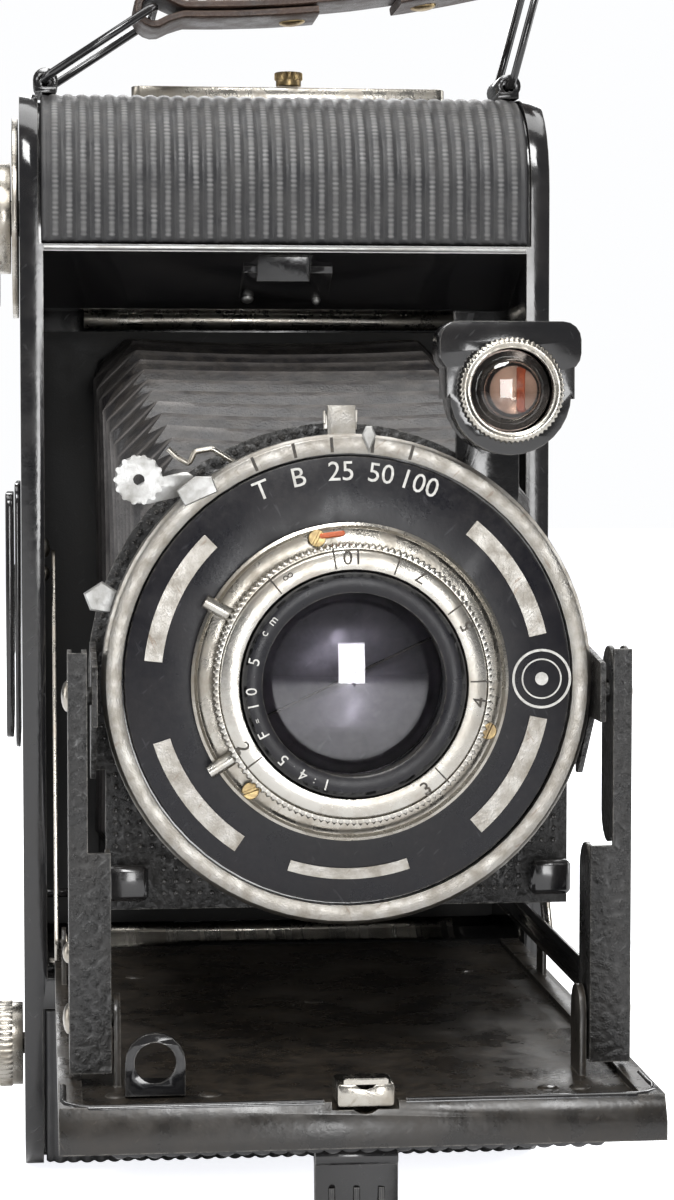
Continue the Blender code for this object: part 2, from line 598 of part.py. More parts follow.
def make_shutter():
    front = FACE_Y
    turned("shutter_case", [(RIM_INNER + 1.4, 0), (RIM_INNER + 1.4, -9.0), (8.4, -9.0), (8.4, -8.0),
        (26.6, -8.0), (26.6, 0)],
           (0, front + 1.1, AXIS_Z), (0, -1, 0), "enamel", 64)
    turned("shutter_face", [(FACE_RADIUS, 0), (FACE_RADIUS, -0.8), (11.2, -0.8), (11.2, 0)],
           (0, front, AXIS_Z), (0, -1, 0), "enamel", 64)
    rim = turned("speed_ring", [(RIM_INNER, 0.3), (RIM_RADIUS - 0.5, 0.3), (RIM_RADIUS, -0.2),
        (RIM_RADIUS, -3.2),
                                (RIM_INNER + 1.8, -3.2), (RIM_INNER + 1.8, -0.7), (RIM_INNER, -0.7)],
                 (0, front, AXIS_Z), (0, -1, 0), "nickel", 72)
    x, z = polar(30.6, 91.4)
    join(rim, box("speed_tab", (x - 1.7, x + 1.7), (front + 1.2, front + 2.2), (z - 1.6, z + 2.7)))
    flange = turned("lens_flange", [(16.0, 1.4), (FLANGE_RADIUS - 0.4, 1.1), (FLANGE_RADIUS, 0.3), (16.0,
        0.3)],
                    (0, front, AXIS_Z), (0, -1, 0), "nickel", 64)
    for angle in (150.6, 211.9):
        x1, z1 = polar(16.95, angle)
        x2, z2 = polar(19.3, angle)
        join(flange, rod(f"stop_pin_{angle}", (x1, front - 1.5, z1), (x2, front - 1.5, z2), 0.65, sides=12))
    lever_x, lever_z = polar(35.0, 136)
    foot_x, foot_z = polar(30.9, 129.5)
    lever = plate("release_lever", [circle((lever_x, lever_z), 2.9, 24), circle((lever_x, lever_z), 0.7,
        12)], (-front - 4.4, -front - 3.6), "front", "aluminium")
    neck = plate("lever_neck", [capsule((lever_x + 0.9, lever_z - 1.6), (foot_x, foot_z), 1.4, 6)],
        (-front - 4.4, -front - 3.6), "front")
    join(lever, neck)
    ring = turned("aperture_ring", [(RIM_INNER + 2.3, -5.2), (RIM_INNER + 2.3, -6.0), (RIM_INNER + 1.75,
        -6.0), (RIM_INNER + 1.75, -5.2)],
           (0, front, AXIS_Z), (0, -1, 0), "nickel", 64)
    x, z = polar(30.4, 161.5)
    join(ring, rod("aperture_tab", (x, front + 5.3, z), (x, front + 5.9, z), 1.4, sides=8))


def make_lens():
    front = FACE_Y
    turned("focus_ring", [(NAME_RADIUS, 6.4), (15.9, 6.2), (FOCUS_RADIUS, 5.2), (FOCUS_RADIUS, 2.9),
        (NAME_RADIUS, 2.9)],
           (0, front, AXIS_Z), (0, -1, 0), "nickel", 64)
    turned("lens_cell", [(GLASS_RADIUS + 0.3, 5.6), (NAME_RADIUS - 0.8, 6.7), (NAME_RADIUS - 0.3, 6.7),
        (NAME_RADIUS - 0.3, 2.6),
                         (GLASS_RADIUS + 0.3, 2.6)], (0, front, AXIS_Z), (0, -1, 0), "enamel", 64)
    dome = [(GLASS_RADIUS * i / 8, 3.8 + 1.9 * (1 - (i / 8) ** 2)) for i in range(9)]
    turned("front_lens", dome + [(GLASS_RADIUS, 2.9), (0, 2.9)], (0, front, AXIS_Z), (0, -1, 0), "glass",
        48)
    turned("rear_cell", [(7.9, -6.5), (7.9, -14.4), (6.3, -14.4), (6.3, -6.5)], (0, front, AXIS_Z), (0,
        -1, 0), "blacking", 32)
    turned("rear_lens", [(0, -11.5), (6.0, -11.5), (6.0, -13.6), (0, -14.0)], (0, front, AXIS_Z), (0, -1,
        0), "glass", 32)
    for i, lean in enumerate((25.0, 205.0)):
        points = arc((0, AXIS_Z), 12.0, lean + 1.0, lean + 179.0, 16)
        near = -front - 3.2 - 0.6 * i
        plate(f"shutter_blade_{i + 1}", [points], (near, near + 0.3), "front", "blacking")


def make_finder():
    back, front = 105.0, 111.5
    hood = plate("finder_hood", [rounded((10.1, 27.1), (AXIS_Z + 37.2, AXIS_Z + 43.2), 2.2, 4)], (back,
        front), "front")
    lower = [(10.9, AXIS_Z + 37.8), (10.9, AXIS_Z + 34)] + arc((18.6, AXIS_Z + 34.6), 7.3, 180, 360,
        16) + [(26.3, AXIS_Z + 34), (26.3, AXIS_Z + 37.8)]
    body = plate("finder_body", [lower], (back, front), "front", "crackle")
    join(body, hood)
    cut(body, rod("finder_bore", (18.6, -back - 1.0, AXIS_Z + 35), (18.6, -120, AXIS_Z + 35), 5.2,
        sides=32))
    turned("finder_bezel", [(5.0, 1.2), (6.1, 0.9), (6.1, 0.3), (5.0, 0.3)], (18.6, -front, AXIS_Z + 35),
        (0, -1, 0), "nickel", 40)
    turned("finder_glass", [(0, 0.5), (2.6, 0.3), (4.7, -0.3), (4.7, -1.0), (0, -1.0)], (18.6, -front,
        AXIS_Z + 35), (0, -1, 0), "glass", 32)
    bracket = plate("finder_bracket", [rounded((14.6, 22.6), (AXIS_Z + 20, AXIS_Z + 37.2), 2, 4)], (93.3,
        94.1), "front", "enamel")
    join(bracket, rod("finder_post", (18.6, -94, AXIS_Z + 34), (18.6, -104.7, AXIS_Z + 34), 1.6, sides=20))


# where each moving piece's origin stands: on the axis of its joint, or on the piece's own slide
BLADE_PIVOT = 14.0
BLADE_LEAN = 25.0
BAIL_FOOT = 168.2


def blade_pivot(lean):
    turn = math.radians(lean)
    return (BLADE_PIVOT * math.cos(turn), -101.5, AXIS_Z + BLADE_PIVOT * math.sin(turn))


PIVOTS = {
    (0.0, *HINGE): ["bed", "bed_leather", "front_lug"],
    (0.0, -120.8, 36.0): ["bed_catch"],
    (0.0, -112.6, 27.7): ["stand_leg"],
    (0.0, *LOWER_PIVOT): ["strut_left", "strut_right"],
    (0.0, *UPPER_PIVOT): ["standard_plate", "shutter_case", "shutter_face", "lens_flange", "rear_cell",
                          "rear_lens", "finder_bracket"],
    (0.0, *LINK_PIVOT): ["link_left", "link_right"],
    (0.0, *STAY_PIVOT): ["stay_left", "stay_right"],
    (-26.6, -94.5, 58.1): ["press_catch_left"],
    (26.6, -94.5, 58.1): ["press_catch_right"],
    (0.0, FACE_Y, AXIS_Z): ["speed_ring", "aperture_ring", "release_lever", "focus_ring", "lens_cell",
                            "front_lens"],
    blade_pivot(BLADE_LEAN): ["shutter_blade_1"],
    blade_pivot(BLADE_LEAN + 180): ["shutter_blade_2"],
    (18.6, -105.0, AXIS_Z + 27): ["finder_body", "finder_bezel", "finder_glass"],
    (0.0, *DOOR_HINGE): ["back_door", "door_leather", "pressure_plate", "pressure_spring", "red_window"],
    (LATCH_X, 8.0, 168.0): ["latch_bar", "latch_knob"],
    (18.0, 20.8, 60.0): ["window_cover"],
    (0.0, SPOOL_Y, TOP_SPOOL_Z): ["wind_key", "takeup_spool"],
    (0.0, SPOOL_Y, BOTTOM_SPOOL_Z): ["feed_spool", "spool_knob"],
    (0.0, 13.6, 132.3): ["film_roller_top"],
    (0.0, 13.6, 32.7): ["film_roller_bottom"],
    (-41.85, -17.0, 86.5): ["sight_frame"],
    (-41.85, 15.0, 86.0): ["rear_sight"],
    (-36.0, 0.0, BAIL_FOOT): ["bail_left"],
    (36.0, 0.0, BAIL_FOOT): ["bail_right"],
    (-19.3, 0.0, 179.2): ["strap"],
}


def hang(obj, pivot):
    """Moves a piece's origin to its pivot and leaves the piece where it is."""
    place = Vector(pivot) * MM
    obj.data.transform(Matrix.Translation(obj.location - place))
    obj.location = place


make_body()
make_rollers_and_spools()
make_winder()
make_spool_knob()
make_side_finder()
make_back_door()
make_latch()
make_strap()
make_bellows()
make_bed()
make_arms()
make_standard()
make_shutter()
make_lens()
make_finder()
for pivot, names in PIVOTS.items():
    for name in names:
        hang(parts.objects[name], pivot)
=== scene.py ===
import math

import bmesh
import bpy
import numpy as np
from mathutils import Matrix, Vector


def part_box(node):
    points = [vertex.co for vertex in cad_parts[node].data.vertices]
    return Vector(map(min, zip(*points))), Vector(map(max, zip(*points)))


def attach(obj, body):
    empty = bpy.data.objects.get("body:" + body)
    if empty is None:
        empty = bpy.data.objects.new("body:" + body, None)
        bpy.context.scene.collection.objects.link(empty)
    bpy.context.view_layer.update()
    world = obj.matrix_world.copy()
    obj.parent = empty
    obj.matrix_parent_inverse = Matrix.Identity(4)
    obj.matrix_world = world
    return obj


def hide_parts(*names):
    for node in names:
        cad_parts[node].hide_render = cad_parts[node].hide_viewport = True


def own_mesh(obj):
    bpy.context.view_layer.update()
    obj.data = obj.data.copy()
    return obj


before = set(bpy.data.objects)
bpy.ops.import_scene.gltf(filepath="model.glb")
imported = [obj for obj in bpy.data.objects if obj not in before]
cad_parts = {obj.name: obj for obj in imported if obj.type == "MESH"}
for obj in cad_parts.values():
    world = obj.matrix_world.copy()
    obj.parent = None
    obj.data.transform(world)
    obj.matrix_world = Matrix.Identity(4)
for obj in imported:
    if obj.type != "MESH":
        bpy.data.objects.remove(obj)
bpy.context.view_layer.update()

mm = 0.001
lensX, lensZ = 0.0, 84.0  # where the lens axis stands, in millimetres
toRight, toTop, toBack = (1, 0, 0), (0, 0, 1), (0, 1, 0)


# measuring the frame
def lowOf(node):
    return np.array(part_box(node)[0]) / mm


def highOf(node):
    return np.array(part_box(node)[1]) / mm


# shapes: each one is (points in millimetres, faces)
def gridFaces(rows, columns, wrapRows=False, wrapColumns=False):
    # one four-sided face for every cell of a grid, going round where it wraps
    r = np.arange(rows if wrapRows else rows - 1)[:, None]
    c = np.arange(columns if wrapColumns else columns - 1)[None, :]
    nextR, nextC = (r + 1) % rows, (c + 1) % columns
    corners = (r * columns + c, nextR * columns + c, nextR * columns + nextC, r * columns + nextC)
    return np.stack(np.broadcast_arrays(*corners), -1).reshape(-1, 4).tolist()


def capped(faces, rows, columns):
    # the two ends of an open tube are closed with one flat face each
    last = (rows - 1) * columns
    return faces + [list(range(columns)), list(range(last, last + columns))[::-1]]


def sweep(path, across, up, section):
    # a section carried along a path: point = path + u * across + v * up
    path, across, up = (np.asarray(part, float) for part in (path, across, up))
    section = np.asarray(section, float)
    if section.ndim == 2:
        section = section[None]
    points = (path[:, None] + section[..., 0:1] * across[:, None]
              + section[..., 1:2] * up[:, None])
    rows, columns = points.shape[:2]
    return points.reshape(-1, 3), capped(gridFaces(rows, columns, False, True), rows, columns)


def turned(profile, centre, axis="y", steps=64, closed=True, ripple=None):
    # a profile of (radius, depth) turned round an axis; ripple adds to the radius, step by step
    profile = np.asarray(profile, float)
    angle = np.arange(steps) * 2 * math.pi / steps
    radius = profile[:, :1] + (np.zeros((1, steps)) if ripple is None else ripple)
    depth = np.broadcast_to(profile[:, 1:], radius.shape)
    a, b = radius * np.cos(angle), radius * np.sin(angle)
    order = {"x": (depth, a, b), "y": (a, depth, b), "z": (a, b, depth)}[axis]
    points = np.stack(order, -1).reshape(-1, 3) + np.asarray(centre, float)
    faces = gridFaces(len(profile), steps, closed, True)
    if not closed:
        faces = capped(faces, len(profile), steps)
    return points, faces


def inset(outline, amount):
    # every corner of a loop moves inwards along the middle of its two edges
    before, after = np.roll(outline, 1, 0), np.roll(outline, -1, 0)
    first, second = outline - before, after - outline
    first /= np.linalg.norm(first, axis=1, keepdims=True)
    second /= np.linalg.norm(second, axis=1, keepdims=True)
    inward = np.stack((-(first + second)[:, 1], (first + second)[:, 0]), -1)
    length = np.linalg.norm(inward, axis=1, keepdims=True)
    return outline + inward / length * amount / np.maximum(length / 2, 0.4)


def prism(outline, depth, chamfer, origin, across, up):
    # a loop given a depth, with a chamfer round its top: point = origin + u * across + v * up + h * out
    outline = np.asarray(outline, float)
    x, y = outline[:, 0], outline[:, 1]
    if np.sum(x * np.roll(y, -1) - y * np.roll(x, -1)) < 0:
        outline = outline[::-1]
    across, up = np.asarray(across, float), np.asarray(up, float)
    out = np.cross(across, up)
    loops = [(outline, 0.0), (outline, depth - chamfer), (inset(outline, chamfer), depth)]
    points = np.concatenate([
        np.asarray(origin, float) + loop[:, :1] * across + loop[:, 1:] * up + height * out
        for loop, height in loops])
    return points, capped(gridFaces(3, len(outline), False, True), 3, len(outline))


def leaning(turn):
    # the across and up directions of a flat part on the front, turned anticlockwise
    spin = math.radians(turn)
    return np.array((math.cos(spin), 0.0, math.sin(spin))), np.array((-math.sin(spin), 0.0, math.cos(spin)))


def circleLoop(radius, steps=24, start=0.0, end=360.0, centre=(0.0, 0.0)):
    whole = abs(end - start) >= 360
    angle = np.radians(np.linspace(start, end, steps, endpoint=not whole))
    return np.stack((centre[0] + radius * np.cos(angle), centre[1] + radius * np.sin(angle)), -1)


def roundBar(halfWidth, halfHeight, corner, steps=3):
    # a rectangle with rounded corners, as a closed section
    parts = [circleLoop(corner, steps, start, start + 90, centre)
             for start, centre in ((0, (halfWidth - corner, halfHeight - corner)),
                                   (90, (corner - halfWidth, halfHeight - corner)),
                                   (180, (corner - halfWidth, corner - halfHeight)),
                                   (270, (halfWidth - corner, corner - halfHeight)))]
    return np.concatenate(parts)


def onDial(radius, angle, depth):
    # a place on the shutter's dial: the angle is counted from its right side, upwards
    angle = np.radians(angle)
    return np.stack(np.broadcast_arrays(lensX + radius * np.cos(angle), depth,
                                        lensZ + radius * np.sin(angle)), -1)


def dialArc(radius, start, end, depth, section, steps=24):
    # a bar bent round the lens axis
    angle = np.linspace(start, end, steps)
    outward = onDial(1.0, angle, 0.0) - np.array((lensX, 0.0, lensZ))
    forward = np.tile((0.0, -1.0, 0.0), (steps, 1))
    return sweep(onDial(radius, angle, depth), outward, forward, section)


def dialTick(inner, outer, angle, depth, halfWidth, halfDepth=0.04):
    ends = onDial(np.array((inner, outer)), angle, depth)
    side = onDial(1.0, angle + 90, 0.0) - np.array((lensX, 0.0, lensZ))
    section = [(-halfWidth, -halfDepth), (halfWidth, -halfDepth),
               (halfWidth, halfDepth), (-halfWidth, halfDepth)]
    return sweep(ends, np.tile(side, (2, 1)), np.tile((0.0, -1.0, 0.0), (2, 1)), section)


def wireAlong(points, radius, steps):
    # a round wire: its section stays square to the path
    points = np.asarray(points, float)
    ahead = np.roll(points, -1, 0) - np.roll(points, 1, 0)
    ahead[0], ahead[-1] = points[1] - points[0], points[-1] - points[-2]
    ahead /= np.linalg.norm(ahead, axis=1, keepdims=True)
    guide = np.tile((0.13, 0.98, 0.07), (len(points), 1))
    across = np.cross(guide, ahead)
    across /= np.linalg.norm(across, axis=1, keepdims=True)
    return sweep(points, across, np.cross(ahead, across), circleLoop(radius, steps))


def dome(centre, direction, radius, height, steps=16, rings=4):
    # a rivet's head: its radius falls as the cosine and its height grows as the sine
    direction = np.asarray(direction, float) / np.linalg.norm(direction)
    guide = np.array((0.0, 0.0, 1.0)) if abs(direction[2]) < 0.9 else np.array((0.0, 1.0, 0.0))
    across = np.cross(guide, direction)
    across /= np.linalg.norm(across)
    up = np.cross(direction, across)
    turn = np.linspace(0, math.pi / 2 * 0.97, rings)
    size = np.concatenate(((1.0,), np.cos(turn))) * radius
    lift = np.concatenate(((-0.25,), np.sin(turn) * height))
    path = np.asarray(centre, float) + lift[:, None] * direction
    section = circleLoop(1.0, steps)[None] * size[:, None, None]
    many = len(path)
    return sweep(path, np.tile(across, (many, 1)), np.tile(up, (many, 1)), section)


def slottedHead(centre, radius, height, turn, slot=0.14):
    # a screw facing the front: two half discs beside a slot, on a lower round floor
    half = math.degrees(math.asin(slot / radius))
    across, up = leaning(turn)
    halves = [prism(circleLoop(radius, 18, start + half, start + 180 - half), height, 0.08,
                    centre, across, up) for start in (0, 180)]
    return halves + [prism(circleLoop(radius * 0.98, 28), height * 0.4, 0.02, centre, across, up)]


fontScale = 1.42  # a font's size over the height of its capitals


def glyph(text, height, centre, turn=0.0, depth=0.12):
    # a character standing on the front: its width goes along +X, its height along +Z
    curve = bpy.data.curves.new("glyph", "FONT")
    curve.body, curve.size, curve.extrude = text, height * fontScale, depth / 2
    curve.align_x, curve.align_y = "CENTER", "CENTER"
    curve.resolution_u = 3
    holder = bpy.data.objects.new("glyph", curve)
    bpy.context.scene.collection.objects.link(holder)
    seen = holder.evaluated_get(bpy.context.evaluated_depsgraph_get())
    mesh = bpy.data.meshes.new_from_object(seen)
    flat = np.empty(len(mesh.vertices) * 3)
    mesh.vertices.foreach_get("co", flat)
    faces = [list(face.vertices) for face in mesh.polygons]
    bpy.data.objects.remove(holder)
    bpy.data.meshes.remove(mesh)
    bpy.data.curves.remove(curve)
    flat = flat.reshape(-1, 3)
    middle = (flat.min(0) + flat.max(0)) / 2
    flat = flat - middle * (1, 1, 0)
    spin = math.radians(turn)
    x = flat[:, 0] * math.cos(spin) - flat[:, 1] * math.sin(spin)
    z = flat[:, 0] * math.sin(spin) + flat[:, 1] * math.cos(spin)
    return np.stack((x, -flat[:, 2], z), -1) + np.asarray(centre, float), faces


def volumeOf(points, faces):
    # six times the volume: the fan of every face against the origin
    fans = [(face[0], face[i], face[i + 1]) for face in faces for i in range(1, len(face) - 1)]
    corner = points[np.array(fans)]
    return np.einsum("ij,ij->i", corner[:, 0], np.cross(corner[:, 1], corner[:, 2])).sum()


def putPiece(name, shapes, finish, body, replaced=(), angle=38, weld=False, marks=None):
    # joins the shapes into one mesh, faces outwards, smooth but for its sharp edges
    if isinstance(shapes, tuple):
        shapes = [shapes]
    allPoints, allFaces, count = [], [], 0
    for points, faces in shapes:
        if volumeOf(points - points.mean(0), faces) < 0:
            faces = [face[::-1] for face in faces]
        allFaces += [[corner + count for corner in face] for face in faces]
        allPoints.append(points)
        count += len(points)
    mesh = bpy.data.meshes.new(name)
    mesh.from_pydata((np.concatenate(allPoints) * mm).tolist(), [], allFaces)
    if weld:
        sketch = bmesh.new()
        sketch.from_mesh(mesh)
        bmesh.ops.remove_doubles(sketch, verts=sketch.verts, dist=1e-6)
        bmesh.ops.recalc_face_normals(sketch, faces=sketch.faces)
        sketch.to_mesh(mesh)
        sketch.free()
    mesh.polygons.foreach_set("use_smooth", np.ones(len(mesh.polygons), bool))
    mesh.set_sharp_from_angle(angle=math.radians(angle))
    if marks is not None:
        attribute = mesh.attributes.new("ridge", "FLOAT", "POINT")
        attribute.data.foreach_set("value", np.asarray(marks, np.float32).ravel())
    mesh.materials.append(finish)
    piece = bpy.data.objects.new(name, mesh)
    bpy.context.scene.collection.objects.link(piece)
    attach(piece, body)
    if replaced:
        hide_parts(*replaced)
    return piece


# finishes
def addNode(tree, kind, values=None, **settings):
    # values go to sockets, and a socket among them is linked instead
    node = tree.nodes.new("ShaderNode" + kind)
    for key, value in settings.items():
        setattr(node, key, value)
    for key, value in (values or {}).items():
        if isinstance(value, bpy.types.NodeSocket):
            tree.links.new(value, node.inputs[key])
        else:
            node.inputs[key].default_value = value
    return node


def startGroup(name, inputs, outputs):
    group = bpy.data.node_groups.new(name, "ShaderNodeTree")
    for label, value in inputs.items():
        socket = group.interface.new_socket(label, in_out="INPUT", socket_type="NodeSocketFloat")
        socket.default_value = value
    for label in outputs:
        group.interface.new_socket(label, in_out="OUTPUT", socket_type="NodeSocketFloat")
    return group, group.nodes.new("NodeGroupInput").outputs, group.nodes.new("NodeGroupOutput").inputs


def noiseIn(tree, scale, detail=4.0, roughness=0.6, stretch=(1, 1, 1), turn=(0, 0, 0)):
    place = addNode(tree, "TexCoord").outputs["Object"]
    if any(turn):
        place = addNode(tree, "Mapping", {"Vector": place, "Rotation": turn}).outputs[0]
    place = addNode(tree, "Mapping", {"Vector": place, "Scale": stretch}).outputs[0]
    return addNode(tree, "TexNoise", {"Vector": place, "Scale": scale, "Detail": detail,
                                      "Roughness": roughness}).outputs["Fac"]


def mapped(tree, value, low, high, toLow=0.0, toHigh=1.0):
    return addNode(tree, "MapRange", {"Value": value, "From Min": low, "From Max": high,
                                      "To Min": toLow, "To Max": toHigh}).outputs[0]


def maths(tree, operation, first, second):
    return addNode(tree, "Math", {0: first, 1: second}, operation=operation).outputs[0]


# patches: cloudy patches of tarnish or handling, wider than Low and narrower than High
patches, given, put = startGroup("patches", {"Scale": 120.0, "Low": 0.4, "High": 0.65}, ["Mask"])
patches.links.new(mapped(patches, noiseIn(patches, given["Scale"], 5.0, 0.65),
                         given["Low"], given["High"]), put["Mask"])

# edgeWear: where two faces meet at a sharp edge, broken up by noise
edgeWear, given, put = startGroup("edgeWear", {"Width": 0.0004, "Amount": 0.5}, ["Mask"])
rounded = addNode(edgeWear, "Bevel", {"Radius": given["Width"]}, samples=4).outputs[0]
flatNormal = addNode(edgeWear, "NewGeometry").outputs["Normal"]
alike = addNode(edgeWear, "VectorMath", {0: rounded, 1: flatNormal}, operation="DOT_PRODUCT").outputs["Value"]
lightenedMask = mapped(edgeWear, alike, 0.995, 0.90)
broken = mapped(edgeWear, noiseIn(edgeWear, 900.0), 0.35, 0.6)
edgeWear.links.new(maths(edgeWear, "MULTIPLY", maths(edgeWear, "MULTIPLY", lightenedMask, broken),
                         given["Amount"]), put["Mask"])

# settledDust: dust lies on what faces up, thicker in patches
settledDust, given, put = startGroup("settledDust", {"Scale": 260.0, "Amount": 0.4}, ["Mask"])
facing = addNode(settledDust, "NewGeometry").outputs["Normal"]
upward = addNode(settledDust, "SeparateXYZ", {0: facing}).outputs["Z"]
lying = mapped(settledDust, upward, 0.1, 0.95, 0.06, 1.0)
clumps = mapped(settledDust, noiseIn(settledDust, given["Scale"], 8.0, 0.75), 0.42, 0.72)
settledDust.links.new(maths(settledDust, "MULTIPLY", maths(settledDust, "MULTIPLY", lying, clumps),
                            given["Amount"]), put["Mask"])

# scratches: long thin marks, from noise drawn out along one direction
scratches, given, put = startGroup("scratches", {"Scale": 1500.0, "Amount": 0.5}, ["Mask"])
drawnX = noiseIn(scratches, given["Scale"], 2.0, 0.5, (0.09, 1.0, 1.0), (0.3, 0.7, 0.4))
drawnZ = noiseIn(scratches, given["Scale"], 2.0, 0.5, (1.0, 1.0, 0.10), (0.2, 0.5, 0.3))
fine, crossed = mapped(scratches, drawnX, 0.68, 0.74), mapped(scratches, drawnZ, 0.70, 0.76)
scratches.links.new(maths(scratches, "MULTIPLY", maths(scratches, "MAXIMUM", fine, crossed),
                          given["Amount"]), put["Mask"])


def useGroup(tree, group, values):
    node = tree.nodes.new("ShaderNodeGroup")
    node.node_tree = group
    for key, value in values.items():
        node.inputs[key].default_value = value
    return node.outputs["Mask"]


def mixed(tree, mask, first, second):
    node = addNode(tree, "Mix", {0: mask}, data_type="RGBA")
    for socket, value in ((node.inputs[6], first), (node.inputs[7], second)):
        if isinstance(value, bpy.types.NodeSocket):
            tree.links.new(value, socket)
        else:
            socket.default_value = (*value, 1.0)
    return node.outputs[2]


plainLook = {"base": (0.5, 0.5, 0.5), "shade": (0.4, 0.4, 0.4), "metal": 0.0, "smooth": 0.3, "rough": 0.5,
             "patchScale": 120.0, "patchLow": 0.4, "patchHigh": 0.65, "grain": 3000.0, "bump": 0.00002,
             "edge": (0.6, 0.55, 0.45), "edgeWidth": 0.0003, "edgeAmount": 0.0, "edgeMetal": 1.0,
             "dust": (0.35, 0.30, 0.24), "dustAmount": 0.05, "dustScale": 300.0, "scratchAmount": 0.2,
             "scratch": (0.5, 0.5, 0.5), "coat": 0.0, "pattern": None, "cells": 1150.0,
             "ior": 1.5, "brushed": (1, 1, 1)}


def makeFinish(name, **changes):
    # base and shade in patches; on ribbed pieces lighter ridge tops, partly wear and partly painted
    # highlight, and painted shade in the grooves; then rubbed edges, scratches and dust; a bump of fine grain
    look = {**plainLook, **changes}
    material = bpy.data.materials.new(name)
    material.use_nodes = True
    tree = material.node_tree
    shader = tree.nodes["Principled BSDF"]
    patch = useGroup(tree, patches, {"Scale": look["patchScale"], "Low": look["patchLow"],
                                     "High": look["patchHigh"]})
    colour = mixed(tree, patch, look["base"], look["shade"])
    rough = mapped(tree, patch, 0.0, 1.0, look["smooth"], look["rough"])
    metal = None
    # ribbed pieces: ridge tops take the edge colour where the noise allows, partly wear and partly painted
    # highlight; the grooves get a darker copy of the base, painted shade
    if look["pattern"] == "ridge":
        ridge = addNode(tree, "Attribute", attribute_name="ridge").outputs["Fac"]
        lightenedMask = maths(tree, "MULTIPLY", mapped(tree, ridge, 0.72, 1.0),
                       mapped(tree, noiseIn(tree, 260.0), 0.3, 0.62, 0.25, 1.0))
        colour = mixed(tree, lightenedMask, colour, look["edge"])
        paintedGrooveShade = mapped(tree, ridge, 0.45, 0.0, 0.0, 0.75)
        colour = mixed(tree, paintedGrooveShade, colour, tuple(0.35 * part for part in look["base"]))
    if look["edgeAmount"] > 0:
        worn = useGroup(tree, edgeWear, {"Width": look["edgeWidth"], "Amount": look["edgeAmount"]})
        colour = mixed(tree, worn, colour, look["edge"])
        if look["edgeMetal"] != look["metal"]:
            metal = mapped(tree, worn, 0.0, 1.0, look["metal"], look["edgeMetal"])
    if look["scratchAmount"] > 0:
        mark = useGroup(tree, scratches, {"Scale": 1500.0, "Amount": look["scratchAmount"]})
        colour = mixed(tree, mark, colour, look["scratch"])
    dusty = useGroup(tree, settledDust, {"Scale": look["dustScale"], "Amount": look["dustAmount"]})
    colour = mixed(tree, dusty, colour, look["dust"])
    rough = maths(tree, "MAXIMUM", rough, mapped(tree, dusty, 0.0, 0.5, 0.0, 0.85))
    tree.links.new(colour, shader.inputs["Base Color"])
    tree.links.new(rough, shader.inputs["Roughness"])
    if metal is None:
        shader.inputs["Metallic"].default_value = look["metal"]
    else:
        tree.links.new(metal, shader.inputs["Metallic"])
    shader.inputs["IOR"].default_value = look["ior"]
    shader.inputs["Coat Weight"].default_value = look["coat"]
    shader.inputs["Coat Roughness"].default_value = 0.08
    height = noiseIn(tree, look["grain"], 3.0, 0.55, look["brushed"])
    if look["pattern"] == "crackle":
        cells = addNode(tree, "TexVoronoi", {"Vector": addNode(tree, "TexCoord").outputs["Object"],
                                             "Scale": look["cells"]}, feature="SMOOTH_F1").outputs["Distance"]
        height = maths(tree, "MULTIPLY", height, mapped(tree, cells, 0.1, 0.7, 1.0, 0.0))
    bump = addNode(tree, "Bump", {"Height": height, "Strength": 1.0, "Distance": look["bump"]})
    tree.links.new(bump.outputs[0], shader.inputs["Normal"])
    return material


brassColour, nickelColour = (0.36, 0.27, 0.13), (0.43, 0.41, 0.37)
enamel = makeFinish("black_enamel", base=(0.010, 0.010, 0.011), shade=(0.016, 0.015, 0.015), smooth=0.10,
                    rough=0.24, grain=700.0, bump=0.00003, edge=nickelColour, edgeAmount=0.35,
                    edgeWidth=0.00025, dustAmount=0.05, scratch=(0.10, 0.10, 0.10), coat=0.4)
dullEnamel = makeFinish("dusty_enamel", base=(0.014, 0.013, 0.012), shade=(0.026, 0.022, 0.018), smooth=0.22,
                        rough=0.45, grain=900.0, bump=0.00004, edge=nickelColour, edgeAmount=0.5,
                        edgeWidth=0.0003, dust=(0.13, 0.095, 0.06), dustAmount=0.24, dustScale=520.0,
                        scratch=(0.12, 0.10, 0.08))
dialEnamel = makeFinish("dial_enamel", base=(0.006, 0.006, 0.009), shade=(0.011, 0.010, 0.012), smooth=0.26,
                        rough=0.40, ior=1.38, grain=2600.0, bump=0.000012, edgeAmount=0.2,
                        dust=(0.4, 0.38, 0.35), dustAmount=0.25, dustScale=900.0, scratch=(0.10, 0.10, 0.11))
crackle = makeFinish("crackle_black", base=(0.013, 0.013, 0.013), shade=(0.020, 0.019, 0.018), smooth=0.24,
                     rough=0.42, pattern="crackle", grain=3800.0, bump=0.0004, edge=nickelColour,
                     edgeAmount=0.45, edgeWidth=0.00025, dustAmount=0.16, scratchAmount=0.1)
# ribbed leatherette: the edge colour lights the rib tops, partly wear and partly painted highlight; the
# grooves get painted shade
leatherette = makeFinish("ribbed_leatherette", base=(0.026, 0.026, 0.028), shade=(0.046, 0.045, 0.045),
                         smooth=0.40, rough=0.60, patchScale=160.0, grain=4200.0, bump=0.00005,
                         pattern="ridge", edge=(0.21, 0.208, 0.205), dust=(0.30, 0.27, 0.22),
                         dustAmount=0.12, dustScale=700.0, scratchAmount=0.1, scratch=(0.1, 0.1, 0.1))
